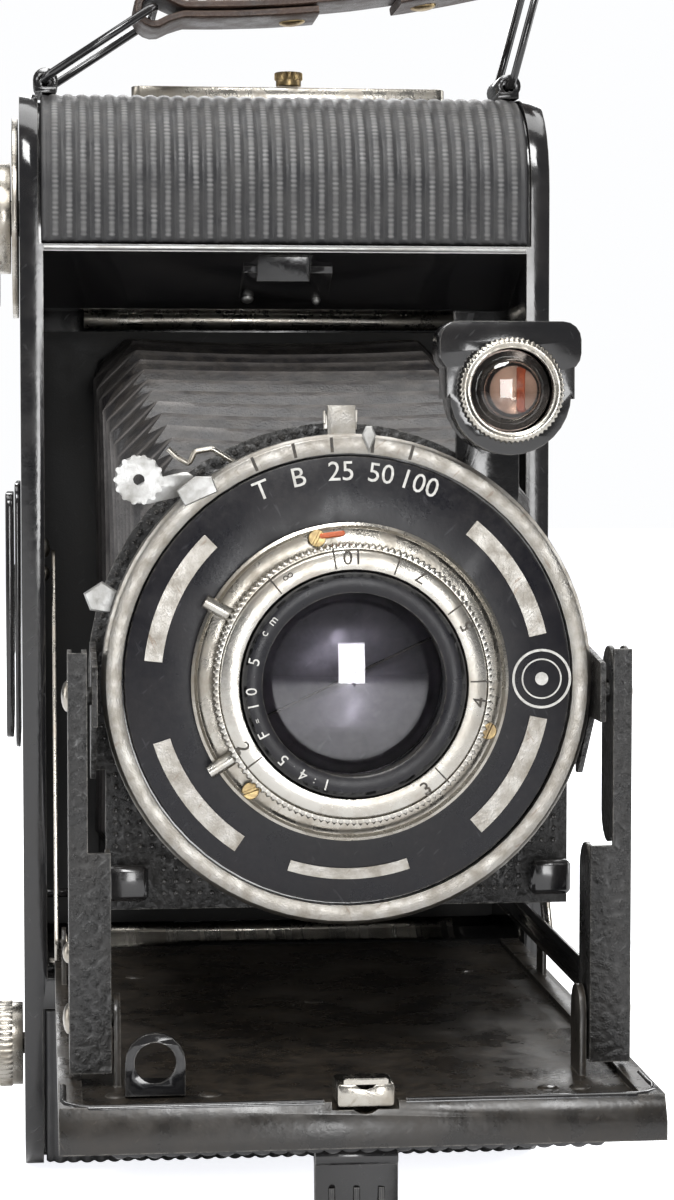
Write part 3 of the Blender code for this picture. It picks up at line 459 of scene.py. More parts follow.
# bellows leather: the edge colour lights the fold crests, partly wear and partly painted highlight; the fold
# valleys get painted shade
bellowsLeather = makeFinish("bellows_leather", base=(0.014, 0.013, 0.014), shade=(0.022, 0.021, 0.021),
                            smooth=0.30, rough=0.52, patchScale=90.0, grain=2400.0, bump=0.00012,
                            pattern="ridge", edge=(0.15, 0.14, 0.135), dustAmount=0.14, scratchAmount=0.0)
strapLeather = makeFinish("strap_leather", base=(0.030, 0.018, 0.014), shade=(0.060, 0.034, 0.024),
                          smooth=0.32, rough=0.6, patchScale=140.0, grain=1900.0, bump=0.00014,
                          edge=(0.16, 0.11, 0.08), edgeMetal=0.0, edgeAmount=0.55, edgeWidth=0.0006,
                          dustAmount=0.1, scratchAmount=0.25, scratch=(0.12, 0.08, 0.06))
nickel = makeFinish("nickel_plate", base=nickelColour, shade=(0.31, 0.28, 0.235), metal=1.0, smooth=0.20,
                    rough=0.42, patchScale=240.0, grain=2600.0, bump=0.00002, scratchAmount=0.45,
                    scratch=(0.22, 0.19, 0.15), dust=(0.14, 0.10, 0.07), dustAmount=0.25, dustScale=700.0)
satinRim = makeFinish("satin_rim", base=(0.29, 0.28, 0.26), shade=(0.205, 0.185, 0.155), metal=1.0,
                      smooth=0.28, rough=0.48, patchScale=420.0, patchLow=0.38, patchHigh=0.72, grain=3600.0,
                      bump=0.00003, scratchAmount=0.5, scratch=(0.16, 0.12, 0.09),
                      dust=(0.12, 0.08, 0.05), dustAmount=0.35, dustScale=1100.0)
bright = makeFinish("bright_aluminium", base=(0.36, 0.36, 0.355), shade=(0.27, 0.265, 0.25), metal=1.0,
                    smooth=0.34, rough=0.48, patchScale=300.0, grain=3000.0, bump=0.00002,
                    scratchAmount=0.3, scratch=(0.28, 0.27, 0.25), dustAmount=0.1)
brushed = makeFinish("turned_nickel", base=(0.47, 0.455, 0.42), shade=(0.34, 0.31, 0.265), metal=1.0,
                     smooth=0.24, rough=0.36, patchScale=150.0, grain=1800.0, bump=0.00002,
                     brushed=(1, 14, 1), scratchAmount=0.25, scratch=(0.27, 0.24, 0.20), dustAmount=0.08)
brass = makeFinish("aged_brass", base=brassColour, shade=(0.26, 0.19, 0.11), metal=1.0, smooth=0.28,
                   rough=0.5, patchScale=500.0, grain=2600.0, bump=0.00003, dustAmount=0.2)
mattBlack = makeFinish("matt_blacking", base=(0.012, 0.012, 0.012), shade=(0.022, 0.021, 0.020), smooth=0.6,
                       rough=0.8, grain=3200.0, bump=0.00004, dustAmount=0.12, scratchAmount=0.15,
                       scratch=(0.08, 0.08, 0.08))
bladeSteel = makeFinish("blade_steel", base=(0.34, 0.33, 0.36), shade=(0.24, 0.23, 0.26), metal=0.6,
                        smooth=0.4, rough=0.55, patchScale=260.0, grain=3000.0, bump=0.00001,
                        scratchAmount=0.3, scratch=(0.5, 0.5, 0.52), dustAmount=0.05)
whitePaint = makeFinish("filled_white", base=(0.62, 0.61, 0.58), shade=(0.46, 0.45, 0.42), smooth=0.45,
                        rough=0.65, patchScale=1200.0, grain=5000.0, bump=0.00002, scratchAmount=0.2,
                        dustAmount=0.05)
blackFill = makeFinish("filled_black", base=(0.030, 0.026, 0.022), shade=(0.07, 0.058, 0.045), smooth=0.5,
                       rough=0.7, patchScale=1500.0, grain=5000.0, bump=0.00002, dustAmount=0.0)
redPaint = makeFinish("index_red", base=(0.62, 0.13, 0.03), shade=(0.40, 0.08, 0.03), smooth=0.35, rough=0.5,
                      patchScale=1500.0, grain=4000.0, bump=0.00003, dustAmount=0.05)
celluloid = makeFinish("red_celluloid", base=(0.30, 0.012, 0.010), shade=(0.20, 0.008, 0.008), smooth=0.12,
                       rough=0.28, grain=1500.0, bump=0.00001, dustAmount=0.05, coat=0.5)
spoolWood = makeFinish("spool_wood", base=(0.30, 0.19, 0.10), shade=(0.20, 0.12, 0.065), smooth=0.5,
                       rough=0.7, patchScale=300.0, grain=900.0, brushed=(0.08, 1, 1), bump=0.0001,
                       dustAmount=0.05, scratchAmount=0.1, scratch=(0.12, 0.07, 0.04))
thread = makeFinish("waxed_thread", base=(0.10, 0.065, 0.045), shade=(0.06, 0.04, 0.03), smooth=0.5,
                    rough=0.7, grain=6000.0, bump=0.00006, dustAmount=0.1, scratchAmount=0.0)


glassBending = 1.62


def makeGlass(name, tint, roughness, smear):
    # clear glass with a haze of fine smears in its roughness
    material = bpy.data.materials.new(name)
    material.use_nodes = True
    tree = material.node_tree
    shader = tree.nodes["Principled BSDF"]
    haze = useGroup(tree, patches, {"Scale": 220.0, "Low": 0.45, "High": 0.8})
    tree.links.new(mapped(tree, haze, 0.0, 1.0, roughness, smear), shader.inputs["Roughness"])
    tree.links.new(mixed(tree, haze, tint, tuple(0.8 * part for part in tint)), shader.inputs["Base Color"])
    shader.inputs["Transmission Weight"].default_value = 1.0
    shader.inputs["IOR"].default_value = glassBending
    return material


lensGlass = makeGlass("lens_glass", (0.86, 0.84, 0.90), 0.01, 0.06)
finderGlass = makeGlass("finder_glass", (0.86, 0.76, 0.68), 0.02, 0.10)
print("finishes made")


# the CAD nodes: finish, and how far their edges are broken (mm)
nodeFinish = {
    "body_shell": (enamel, 0.5), "film_gate": (mattBlack, 0.15), "back_door": (enamel, 0.3),
    "pressure_plate": (mattBlack, 0.15), "pressure_spring": (nickel, 0.05), "red_window": (celluloid, 0.1),
    "window_cover": (nickel, 0.15), "latch_bar": (nickel, 0.3), "latch_knob": (brass, 0.2),
    "bed_hinge_pin": (nickel, 0.1), "winder_plate": (nickel, 0.2), "wind_key": (nickel, 0.25),
    "takeup_spool": (spoolWood, 0.2), "feed_spool": (spoolWood, 0.2), "film_roller_top": (nickel, 0.1),
    "film_roller_bottom": (nickel, 0.1), "spool_knob": (nickel, 0.2), "finder_base": (enamel, 0.15),
    "sight_frame": (enamel, 0.15), "rear_sight": (enamel, 0.15), "strap_lug_left": (enamel, 0.15),
    "strap_lug_right": (enamel, 0.15), "bail_left": (enamel, 0.0), "bail_right": (enamel, 0.0),
    "bed": (dullEnamel, 0.35), "front_lug": (enamel, 0.15), "bed_catch": (nickel, 0.15),
    "stand_leg": (enamel, 0.2), "strut_left": (crackle, 0.08), "strut_right": (crackle, 0.08),
    "link_left": (enamel, 0.1), "link_right": (enamel, 0.1), "stay_left": (nickel, 0.1),
    "stay_right": (nickel, 0.1), "standard_plate": (crackle, 0.12), "finder_bracket": (enamel, 0.12),
    "shutter_case": (enamel, 0.25), "shutter_face": (dialEnamel, 0.12), "lens_flange": (nickel, 0.15),
    "rear_cell": (mattBlack, 0.15), "rear_lens": (lensGlass, 0.0), "press_catch_left": (enamel, 0.35),
    "press_catch_right": (enamel, 0.35), "speed_ring": (satinRim, 0.2), "aperture_ring": (nickel, 0.08),
    "release_lever": (bright, 0.1), "shutter_blade_1": (bladeSteel, 0.0),
    "shutter_blade_2": (bladeSteel, 0.0), "lens_cell": (mattBlack, 0.12), "focus_ring": (brushed, 0.15),
    "front_lens": (lensGlass, 0.0),
    "finder_body": (enamel, 0.25), "finder_bezel": (nickel, 0.12), "finder_glass": (finderGlass, 0.0),
}


def breakEdges(node, finish, width):
    # merges the node's loose triangles, then rounds its sharp edges a little
    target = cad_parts[node]
    target.data.materials.clear()
    target.data.materials.append(finish)
    target.data.polygons.foreach_set("use_smooth", np.ones(len(target.data.polygons), bool))
    weld = target.modifiers.new("merge", "WELD")
    weld.merge_threshold = 0.000002
    if width > 0:
        bevel = target.modifiers.new("broken_edges", "BEVEL")
        bevel.width, bevel.segments = width * mm, 2
        bevel.limit_method, bevel.angle_limit = "ANGLE", math.radians(32)
        bevel.harden_normals = True
        bevel.use_clamp_overlap = True


for node, (finish, width) in nodeFinish.items():
    breakEdges(node, finish, width)
print("frame finished")


# ribbed leatherette: body ends, back and bed
ribs = {"endHalf": 36.8, "endThick": 0.85, "backHalf": 36.4, "backThick": 0.58, "bedThick": 1.8,
        "windowPlace": (12.0, 60.0), "windowRadius": 6.6, "flatStep": 0.5, "halfDepth": 19.0, "pitch": 2.1,
        "height": 0.42, "bead": 0.78, "beadDepth": 0.12, "sink": 0.30, "stepX": 0.3,
        "bendStep": 0.36, "edge": 0.9, "corner": 15.0}


def alongPath(path, step):
    # a path of few points, walked in equal steps
    path = np.asarray(path, float)
    travelled = np.concatenate(((0.0,), np.cumsum(np.linalg.norm(np.diff(path, axis=0), axis=1))))
    walk = np.linspace(0, travelled[-1], int(travelled[-1] / step) + 2)
    return np.stack([np.interp(walk, travelled, path[:, axis]) for axis in range(path.shape[1])], -1), walk


def ribbedSheet(path, halfWidth, thickness, step):
    # height over the sheet = rib across it, times a fine bead along it, down to nothing at its edges
    line, walk = alongPath(path, step)
    ahead = np.gradient(line, axis=0)
    ahead /= np.linalg.norm(ahead, axis=1, keepdims=True)
    out = np.stack((-ahead[:, 1], ahead[:, 0]), -1)
    x = np.linspace(-halfWidth, halfWidth, int(2 * halfWidth / ribs["stepX"]) + 1)
    phase = x / ribs["pitch"]
    rib = 1 - np.abs(2 * (phase - np.floor(phase)) - 1) ** 2.4
    bead = 1 - ribs["beadDepth"] * (1 - np.cos(2 * math.pi * walk[:, None] / ribs["bead"]
                                               + math.pi * np.floor(phase)[None]))
    wander = 1 + 0.08 * np.sin(walk[:, None] * 0.9 + 5 * np.sin(phase)[None])
    nearEdge = np.minimum(np.minimum(walk, walk[-1] - walk)[:, None], (halfWidth - np.abs(x))[None])
    fall = np.clip(nearEdge / ribs["edge"], 0, 1) ** 0.5
    ridge = rib[None] * bead
    height = (ridge * wander * ribs["height"] - ribs["sink"]) * fall - thickness * 0.5 * (1 - fall)
    top = np.stack((np.broadcast_to(x[None], height.shape),
                    line[:, :1] + out[:, :1] * height, line[:, 1:] + out[:, 1:] * height), -1)
    rows, columns = height.shape
    below = line - out * thickness
    leftLow = np.stack((np.full(rows, -halfWidth), below[:, 0], below[:, 1]), -1)
    rightLow = leftLow + (2 * halfWidth, 0, 0)
    points = np.concatenate((top.reshape(-1, 3), leftLow, rightLow))
    n = rows * columns
    r = np.arange(rows - 1)
    faces = gridFaces(rows, columns)
    skirts = [(n + r, n + r + 1, (r + 1) * columns, r * columns),
              (r * columns + columns - 1, (r + 1) * columns + columns - 1, n + rows + r + 1, n + rows + r),
              (n + rows + r, n + rows + r + 1, n + r + 1, n + r)]
    for skirt in skirts:
        faces += np.stack(skirt, -1).tolist()
    first, last = np.arange(columns), np.arange(columns) + (rows - 1) * columns
    faces += [[n, *first.tolist(), n + rows], [n + 2 * rows - 1, *last[::-1].tolist(), n + rows - 1]]
    marks = np.concatenate(((ridge * fall).ravel(), np.zeros(2 * rows)))
    return (points, faces), marks


halfDepth, corner = ribs["halfDepth"], ribs["corner"]
frontLow, bodyTop = lowOf("leather_top")[2], highOf("leather_top")[2]
arcTop = np.concatenate((
    [(-halfDepth, frontLow)],
    circleLoop(corner, 24, 180, 90, (corner - halfDepth, bodyTop - corner)),
    circleLoop(corner, 16, 90, 59.2, (halfDepth - corner, bodyTop - corner))))
sheet, marks = ribbedSheet(arcTop, ribs["endHalf"], ribs["endThick"], ribs["bendStep"])
putPiece("ribbed_end_top", sheet, leatherette, "root", ["leather_top"], 60, marks=marks)
frontHigh = highOf("leather_bottom")[2]
arcBottom = np.concatenate((
    circleLoop(corner, 20, -27.5, -90, (halfDepth - corner, corner)),
    circleLoop(corner, 24, 270, 180, (corner - halfDepth, corner)),
    [(-halfDepth, frontHigh)]))
sheet, marks = ribbedSheet(arcBottom, ribs["endHalf"], ribs["endThick"], ribs["bendStep"])
putPiece("ribbed_end_bottom", sheet, leatherette, "root", ["leather_bottom"], 60, marks=marks)
doorLow, doorHigh = lowOf("door_leather"), highOf("door_leather")
sheet, marks = ribbedSheet([(doorHigh[1], doorHigh[2]), (doorHigh[1], doorLow[2])], ribs["backHalf"],
                           ribs["backThick"], ribs["flatStep"])
backSheet = putPiece("ribbed_back", sheet, leatherette, "door", ["door_leather"], 60, marks=marks)
windowX, windowZ = ribs["windowPlace"]
windowTube = turned([(ribs["windowRadius"], -4), (ribs["windowRadius"], 4)], (windowX, doorHigh[1], windowZ),
                    "y", 48, closed=False)
holeCutter = putPiece("window_cutter", windowTube, leatherette, "door")
cut = backSheet.modifiers.new("window_hole", "BOOLEAN")
cut.operation, cut.solver, cut.object = "DIFFERENCE", "EXACT", holeCutter
bpy.context.view_layer.objects.active = backSheet
with bpy.context.temp_override(object=backSheet, active_object=backSheet):
    bpy.ops.object.modifier_apply(modifier="window_hole")
bpy.data.objects.remove(holeCutter)
bedLow, bedHigh = lowOf("bed_leather"), highOf("bed_leather")
sheet, marks = ribbedSheet([(bedHigh[1], bedLow[2]), (bedLow[1], bedLow[2])], bedHigh[0], ribs["bedThick"],
                           ribs["flatStep"])
putPiece("ribbed_bed", sheet, leatherette, "bed", ["bed_leather"], 60, marks=marks)
print("leatherette laid")


# body: a bright metal bead along the opening's top edge, a painted highlight on the enamelled edge, and the
# catch plate's pins
edge = {"z": 141.75, "halfWidth": 36.4, "radius": 0.42, "flatten": 1.15, "forward": -18.75, "stations": 9}
many = edge["stations"]
path = np.stack((np.linspace(-edge["halfWidth"], edge["halfWidth"], many), np.full(many, edge["forward"]),
                 np.full(many, edge["z"])), -1)
section = circleLoop(edge["radius"], 14) * (edge["flatten"], 1.0)
putPiece("highlight_edge_bead", sweep(path, np.tile((0, 1, 0), (many, 1)), np.tile((0, 0, 1), (many, 1)), section),
         bright, "root")

slope = {"start": (-15.0, 139.2), "end": (-5.0, 134.7),  # the catch plate under the ceiling, as y and z
         "pins": (((-5.1, -6.5, 134.8), 1.0, 0.6), ((5.6, -6.5, 134.8), 0.7, 0.9))}  # place, radius, height
slopeAlong = np.array((0.0, slope["end"][0] - slope["start"][0], slope["end"][1] - slope["start"][1]))
slopeAlong /= np.linalg.norm(slopeAlong)
slopeOut = np.array((0.0, slopeAlong[2], -slopeAlong[1]))
keeperPins = [dome(place, slopeOut, radius, height) for place, radius, height in slope["pins"]]
print("body trimmed")


# carrying strap
strapLook = {"left": (-19.3, 179.2), "right": (40.9, 186.6), "sag": 2.2, "loop": 2.45, "thick": 1.4,
             "halfWidth": 6.8, "tailLeft": 0.42, "tailRight": 0.63, "stitch": 2.7, "seams": (-5.5, 5.5),
             "span": 60.6, "overlap": 4.6, "crown": 0.16, "rivets": (0.36, 0.70)}


def strapLine(share, lift):
    # the sagging line between the two loops, and its neighbours above and below
    a, b = np.array(strapLook["left"]), np.array(strapLook["right"])
    droop = np.array((0.0, 4 * strapLook["sag"]))
    share = np.asarray(share, float)[:, None]
    line = a + (b - a) * share - droop * share * (1 - share)
    slopeOf = (b - a) - droop * (1 - 2 * share)
    slopeOf /= np.linalg.norm(slopeOf, axis=1, keepdims=True)
    return line + lift * np.stack((-slopeOf[:, 1], slopeOf[:, 0]), -1)


loop, half = strapLook["loop"], strapLook["thick"] / 2 + 0.03
strapRun, strapRise = np.subtract(strapLook["right"], strapLook["left"])
lineAngle = math.degrees(math.atan2(strapRise, strapRun))
shareOff = strapLook["overlap"] / strapLook["span"]
lower = strapLine(np.linspace(strapLook["tailLeft"], shareOff, 16), -half)
leftLoop = circleLoop(loop, 17, lineAngle - 52, lineAngle - 308, strapLook["left"])
upper = strapLine(np.linspace(shareOff, 1 - shareOff, 48), half)
rightLoop = circleLoop(loop, 17, lineAngle + 128, lineAngle - 128, strapLook["right"])
tail = strapLine(np.linspace(1 - shareOff, strapLook["tailRight"], 16), -half)
path, walk = alongPath(np.concatenate((lower, leftLoop, upper, rightLoop, tail)), 0.9)
ahead = np.gradient(path, axis=0)
ahead /= np.linalg.norm(ahead, axis=1, keepdims=True)
wide = strapLook["halfWidth"] + 0.12 * np.sin(walk * 0.31) + 0.08 * np.sin(walk * 0.87 + 1)
section = roundBar(1.0, strapLook["thick"] / 2, 0.32, 4)
section = section[None] * np.stack((wide, np.ones_like(wide)), -1)[:, None]
crowned = strapLook["crown"] * (1 - (section[..., 0] / wide[:, None]) ** 2)
section = section + np.stack((np.zeros(section.shape[:2]), crowned), -1)
strapPath = np.stack((path[:, 0], np.zeros(len(path)), path[:, 1]), -1)
acrossStrap = np.tile((0.0, 1.0, 0.0), (len(path), 1))
upStrap = np.stack((-ahead[:, 1], np.zeros(len(path)), ahead[:, 0]), -1)
putPiece("carrying_strap", sweep(strapPath, acrossStrap, upStrap, section), strapLeather, "strap", ["strap"],
         50)
stitches = []
for sideY in strapLook["seams"]:
    for share in np.arange(0.10, 0.91, strapLook["stitch"] / strapLook["span"]):
        ends = strapLine([share - 0.012, share, share + 0.012], 2 * half + 0.02)
        lifts = np.array((-0.05, 0.14, -0.05))  # each stitch dips into the leather at its two ends
        stitches.append(wireAlong(np.stack((ends[:, 0], np.full(3, sideY), ends[:, 1] + lifts), -1), 0.17, 6))
putPiece("strap_stitches", stitches, thread, "strap")
strapRivets = []
for share in strapLook["rivets"]:
    spot = strapLine([share], 2 * half + 0.1)[0]
    under = strapLine([share], -2 * half - 0.05)[0]
    strapRivets += [dome((spot[0], 0, spot[1]), (-0.12, 0, 1), 2.1, 0.9, 24, 6),
                    dome((under[0], 0, under[1]), (0.12, 0, -1), 2.1, 0.7, 24, 6)]
putPiece("strap_rivets", strapRivets, brass, "strap")
print("strap made")


# bellows
folds = {"count": 12, "perFold": 8, "depth": 2.3, "wall": 0.6, "rearHalf": (29.2, 43.4),
         "frontHalf": (25.6, 26.2), "rearZ": 87.0, "frontZ": 84.0, "cornerPeak": 6.5, "cornerHollow": 1.6,
         "sag": 0.5, "softness": 0.985, "flatEnds": 0.03, "waver": 0.25, "closed": 0.03}


def bellowsRings(offset):
    # each ring is a rectangle with cut corners; ridges stand out and their corners are cut wide
    rearY, frontY = highOf("bellows")[1], lowOf("bellows")[1]
    rows = folds["count"] * folds["perFold"] + 1
    t = np.linspace(0, 1, rows)
    turns = 2 * math.pi * folds["count"] * t
    wave = np.arcsin(np.sin(turns + math.pi / 2) * folds["softness"]) * 2 / math.pi
    ends = np.clip(np.minimum(t, 1 - t) / folds["flatEnds"], 0, 1)
    pleat = wave * folds["depth"] * 0.5 * ends
    w, h = (rear * (1 - t) + front * t + pleat - folds["depth"] * 0.5 - offset
            for rear, front in zip(folds["rearHalf"], folds["frontHalf"]))
    cz = folds["rearZ"] * (1 - t) + folds["frontZ"] * t
    c = folds["cornerHollow"] + (folds["cornerPeak"] - folds["cornerHollow"]) * (wave * 0.5 + 0.5)
    eight = ((w, h - c), (w - c, h), (c - w, h), (-w, h - c),
             (-w, c - h), (c - w, -h), (w - c, -h), (w, c - h))
    corners = np.stack([np.stack(pair, -1) for pair in eight], 1)
    pieces = []
    for k in range(8):
        many = 14 if k % 2 else 4
        share = np.linspace(0, 1, many, endpoint=False)[None, :, None]
        line = corners[:, k:k + 1] * (1 - share) + corners[:, (k + 1) % 8][:, None] * share
        if k % 2:
            bow = (4 * share * (1 - share))[..., 0] * folds["sag"]
            bow = bow * (1 + 0.5 * np.sin(9 * t[:, None] + k))
            towards = -np.sign(np.array(((0, 1), (-1, 0), (0, -1), (1, 0))))[k // 2]
            line = line + bow[..., None] * towards
        pieces.append(line)
    ring = np.concatenate(pieces, 1)
    y = rearY + (frontY - rearY) * t
    waver = folds["waver"] * np.sin(t[:, None] * 40 + np.arange(ring.shape[1])[None] * 0.5)
    y = np.clip(y[:, None] + waver * ends[:, None], frontY, rearY)
    points = np.stack((ring[..., 0], y, ring[..., 1] + cz[:, None]), -1)
    return points, np.broadcast_to((wave * 0.5 + 0.5)[:, None], y.shape)


outer, marks = bellowsRings(0.0)
inner, innerMarks = bellowsRings(folds["wall"])
shell = np.concatenate((outer, inner[::-1]))
# the inner wall's ridge marks are halved, so it never gets the lighter crests and takes more of the painted
# shade
bellows = putPiece("folded_bellows",
                   (shell.reshape(-1, 3), gridFaces(len(shell), shell.shape[1], True, True)), bellowsLeather,
                   "root", ["bellows"], 50, marks=np.concatenate((marks, innerMarks[::-1] * 0.5)))
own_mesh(bellows)
print("bellows folded")


# bed: rim, rivets, catch tongue, foot ribs
bedLook = {"rimRadius": 0.5, "rimZ": 36.35, "corner": 3.0, "sideInset": 0.55, "frontInset": 1.8,
           "rimStart": -111.0, "step": 1.6, "notchHalf": 4.4, "floor": 35.7, "rivetRadius": 1.35,
           "rivetHeight": 0.35, "rivets": ((26.8, -114.2), (22.9, -114.4), (-28.6, -113.0), (-17.5, -113.5),
                                           (0, -60), (-24, -40), (24, -40))}
rimX = highOf("bed")[0] - bedLook["sideInset"]
cornerX = rimX - bedLook["corner"]
cornerY = lowOf("bed")[1] + bedLook["corner"] + bedLook["frontInset"]
rimPath = np.concatenate((
    [(-rimX, bedLook["rimStart"])],
    circleLoop(bedLook["corner"], 8, 180, 270, (-cornerX, cornerY)),
    circleLoop(bedLook["corner"], 8, 270, 360, (cornerX, cornerY)),
    [(rimX, bedLook["rimStart"])]))
rimPath, walk = alongPath(rimPath, bedLook["step"])
notch = (np.abs(rimPath[:, 0]) < bedLook["notchHalf"]) & (rimPath[:, 1] < bedLook["rimStart"])
halves = [rimPath[: int(np.argmax(notch))], rimPath[len(rimPath) - int(np.argmax(notch[::-1])):]]
rimShapes = [wireAlong(np.stack((part[:, 0], part[:, 1], np.full(len(part), bedLook["rimZ"])), -1),
                       bedLook["rimRadius"], 12) for part in halves]
putPiece("bed_rolled_rim", rimShapes, enamel, "bed")
bedRivets = [dome((x, y, bedLook["floor"]), (0, 0, 1), bedLook["rivetRadius"], bedLook["rivetHeight"], 20, 4)
             for x, y in bedLook["rivets"]]
putPiece("bed_rivets", bedRivets, dullEnamel, "bed")
catchLow, catchHigh = lowOf("bed_catch"), highOf("bed_catch")
tongue = [prism(roundBar(1.1, 1.6, 0.8, 5), 0.5, 0.15, (0, catchLow[1] + 2.4, catchHigh[2] - 0.05),
                toRight, toBack),
          prism([(-2.6, -0.5), (2.6, -0.5), (2.0, 0.5), (-2.0, 0.5)], 0.7, 0.15,
                (0, catchLow[1] + 0.6, catchHigh[2] - 0.1), toRight, toBack)]
putPiece("catch_tongue", tongue, nickel, "catch")
leg = {"ribs": (-3.0, 0.0, 3.0), "radius": 0.42, "front": -113.45, "sunk": -113.25, "low": 4.0, "high": 24.0}
footRibs = []
for x in leg["ribs"]:
    rise = ((leg["sunk"], leg["low"]), (leg["front"], leg["low"] + 2), (leg["front"], leg["high"] - 2),
            (leg["sunk"], leg["high"]))
    footRibs.append(wireAlong(np.array([(x, y, z) for y, z in rise]), leg["radius"], 8))
putPiece("leg_pressed_ribs", footRibs, enamel, "stand")
print("bed trimmed")


# struts, links and stays: rivets
armHeads = {  # piece: (body, distance from the middle, outwards or inwards, height, sides, rings,
    #                  (y, z and radius of each head))
    "strut_rivets": ("struts", 34.0, 1, 0.75, 20, 5,
                     ((-105.5, 43.5, 1.9), (-105.5, 82.5, 1.9), (-105.4, 51.5, 1.3))),
    "link_studs": ("links", 33.15, 1, 0.3, 18, 4, ((-95.9, 43.5, 1.2),)),
    "stay_ear_studs": ("bed", 34.0, 1, 0.35, 18, 4, ((-47.0, 42.0, 1.5),)),
    "wall_studs": ("root", 36.5, -1, 0.8, 20, 5, ((-12.0, 96.6, 1.5), (-10.2, 92.6, 1.2))),
}
for name, (body, away, facing, height, sides, rings, heads) in armHeads.items():
    studs = [dome((side * away, y, z), (side * facing, 0, 0), radius, height, sides, rings)
             for side in (-1, 1) for y, z, radius in heads]
    putPiece(name, studs, nickel, body)
putPiece("keeper_pins", keeperPins, bright, "root")
print("arms riveted")


# standard: pressed pips over the plate and round the case
pips = {"pitch": 1.5, "radius": 0.36, "height": 0.26, "front": -92.5, "ring": 30.4, "fieldHalf": 28.0,
        "catchX": 23.2, "catchZ": 61.2, "ringStep": 2.9}
plateLow, plateHigh = lowOf("standard_plate"), highOf("standard_plate")
columnsOf = np.arange(-pips["fieldHalf"], pips["fieldHalf"] + 0.1, pips["pitch"])
rowsOf = np.arange(plateLow[2] + 2.0, plateHigh[2], pips["pitch"])
gx, gz = [part.ravel() for part in np.meshgrid(columnsOf, rowsOf)]
reach = np.hypot(gx - lensX, gz - lensZ)
clearOfCase = (reach > pips["ring"] - 0.8) & ((reach < pips["ring"] + 0.2) | (gz < lensZ - 6))
clearOfCatches = ~((np.abs(gx) > pips["catchX"]) & (gz < pips["catchZ"]))
inPlate = clearOfCase & clearOfCatches & (np.abs(gx) < pips["fieldHalf"] + 0.2)
pipPlaces = [(x, pips["front"], z) for x, z in zip(gx[inPlate], gz[inPlate])]
for start, end in ((18, 60), (66, 162), (166, 196)):  # clear of the finder's bracket and the levers
    pipPlaces += [onDial(pips["ring"], angle, pips["front"])
                  for angle in np.arange(start, end, pips["ringStep"])]
pipShapes = [dome(place, (0, -1, 0), pips["radius"], pips["height"], 7, 3) for place in pipPlaces]
putPiece("standard_pips", pipShapes, enamel, "standard")
print(len(pipShapes), "pips pressed")


# shutter dial
dial = {"face": lowOf("shutter_face")[1], "rim": lowOf("speed_ring")[1], "flange": lowOf("lens_flange")[1],
        "barRadius": 23.8, "barHalf": 1.08, "lowBarRadius": 23.6, "lowBarShare": 0.62, "numberRadius": 25.4,
        "numberHeight": 2.35, "numberTurn": 0.9, "emblem": 23.7, "pointer": (29.6, 85.4), "tabAngle": 91.6}
flatSection = [(-dial["barHalf"], -0.1), (dial["barHalf"], -0.1), (dial["barHalf"], 0.16),
               (-dial["barHalf"], 0.16)]
bars = [dialArc(dial["barRadius"], start, end, dial["face"], flatSection, 32)
        for start, end in ((13, 51), (134.5, 174), (197.5, 236), (311, 348.5))]
putPiece("dial_bars", bars, satinRim, "standard", angle=30)
lowSection = np.array(flatSection) * (dial["lowBarShare"], 1)
lowBar = dialArc(dial["lowBarRadius"], 252, 288, dial["face"], lowSection, 32)
putPiece("dial_low_bar", lowBar, satinRim, "standard", angle=30)
numbers = []
for text, angle in (("T", 114.6), ("B", 103.8), ("25", 92.2), ("50", 81.0), ("100", 69.6)):
    numbers.append(glyph(text, dial["numberHeight"], onDial(dial["numberRadius"], angle, dial["face"]),
                         (angle - 90) * dial["numberTurn"]))
putPiece("dial_numbers", numbers, whitePaint, "standard", angle=30, weld=True)
emblem = [turned([(inner, -0.1), (outer, -0.1), (outer, 0.1), (inner, 0.1)],
                 (lensX + dial["emblem"], dial["face"], lensZ), "y", sides)
          for inner, outer, sides in ((3.35, 3.65, 48), (2.3, 2.48, 40), (0.0, 0.8, 32))]
putPiece("dial_emblem", emblem, whitePaint, "standard", angle=30)
rimTicks = [dialTick(27.7, 29.5, angle, dial["rim"] - 0.02, 0.19)
            for angle in (113.6, 103.4, 94.2, 84.2, 74.6)]
putPiece("rim_ticks", rimTicks, blackFill, "standard", angle=30)
pointer = prism([(-0.85, 0.2), (0, -1.9), (0.85, 0.2), (0.35, 1.3), (-0.35, 1.3)], 0.7, 0.2,
                onDial(*dial["pointer"], dial["rim"]), toRight, toTop)
putPiece("speed_pointer", pointer, bright, "speed")
grip = []
for step in range(-4, 5):
    spot = onDial(32.0, dial["tabAngle"] + step * 0.86, dial["rim"] + 2.0)
    grip.append(prism(roundBar(0.17, 0.8, 0.1, 2), 0.45, 0.08, spot, toRight, toTop))
putPiece("speed_tab_teeth", grip, satinRim, "speed")
plateTab = prism([(-2.0, -1.0), (2.0, -1.0), (2.0, 0.95), (1.2, 1.5), (-1.4, 1.3), (-2.0, 0.6)], 0.55, 0.12,
                 onDial(31.4, dial["tabAngle"], dial["rim"] + 2.3), toRight, toTop)
putPiece("speed_tab_plate", plateTab, satinRim, "speed")

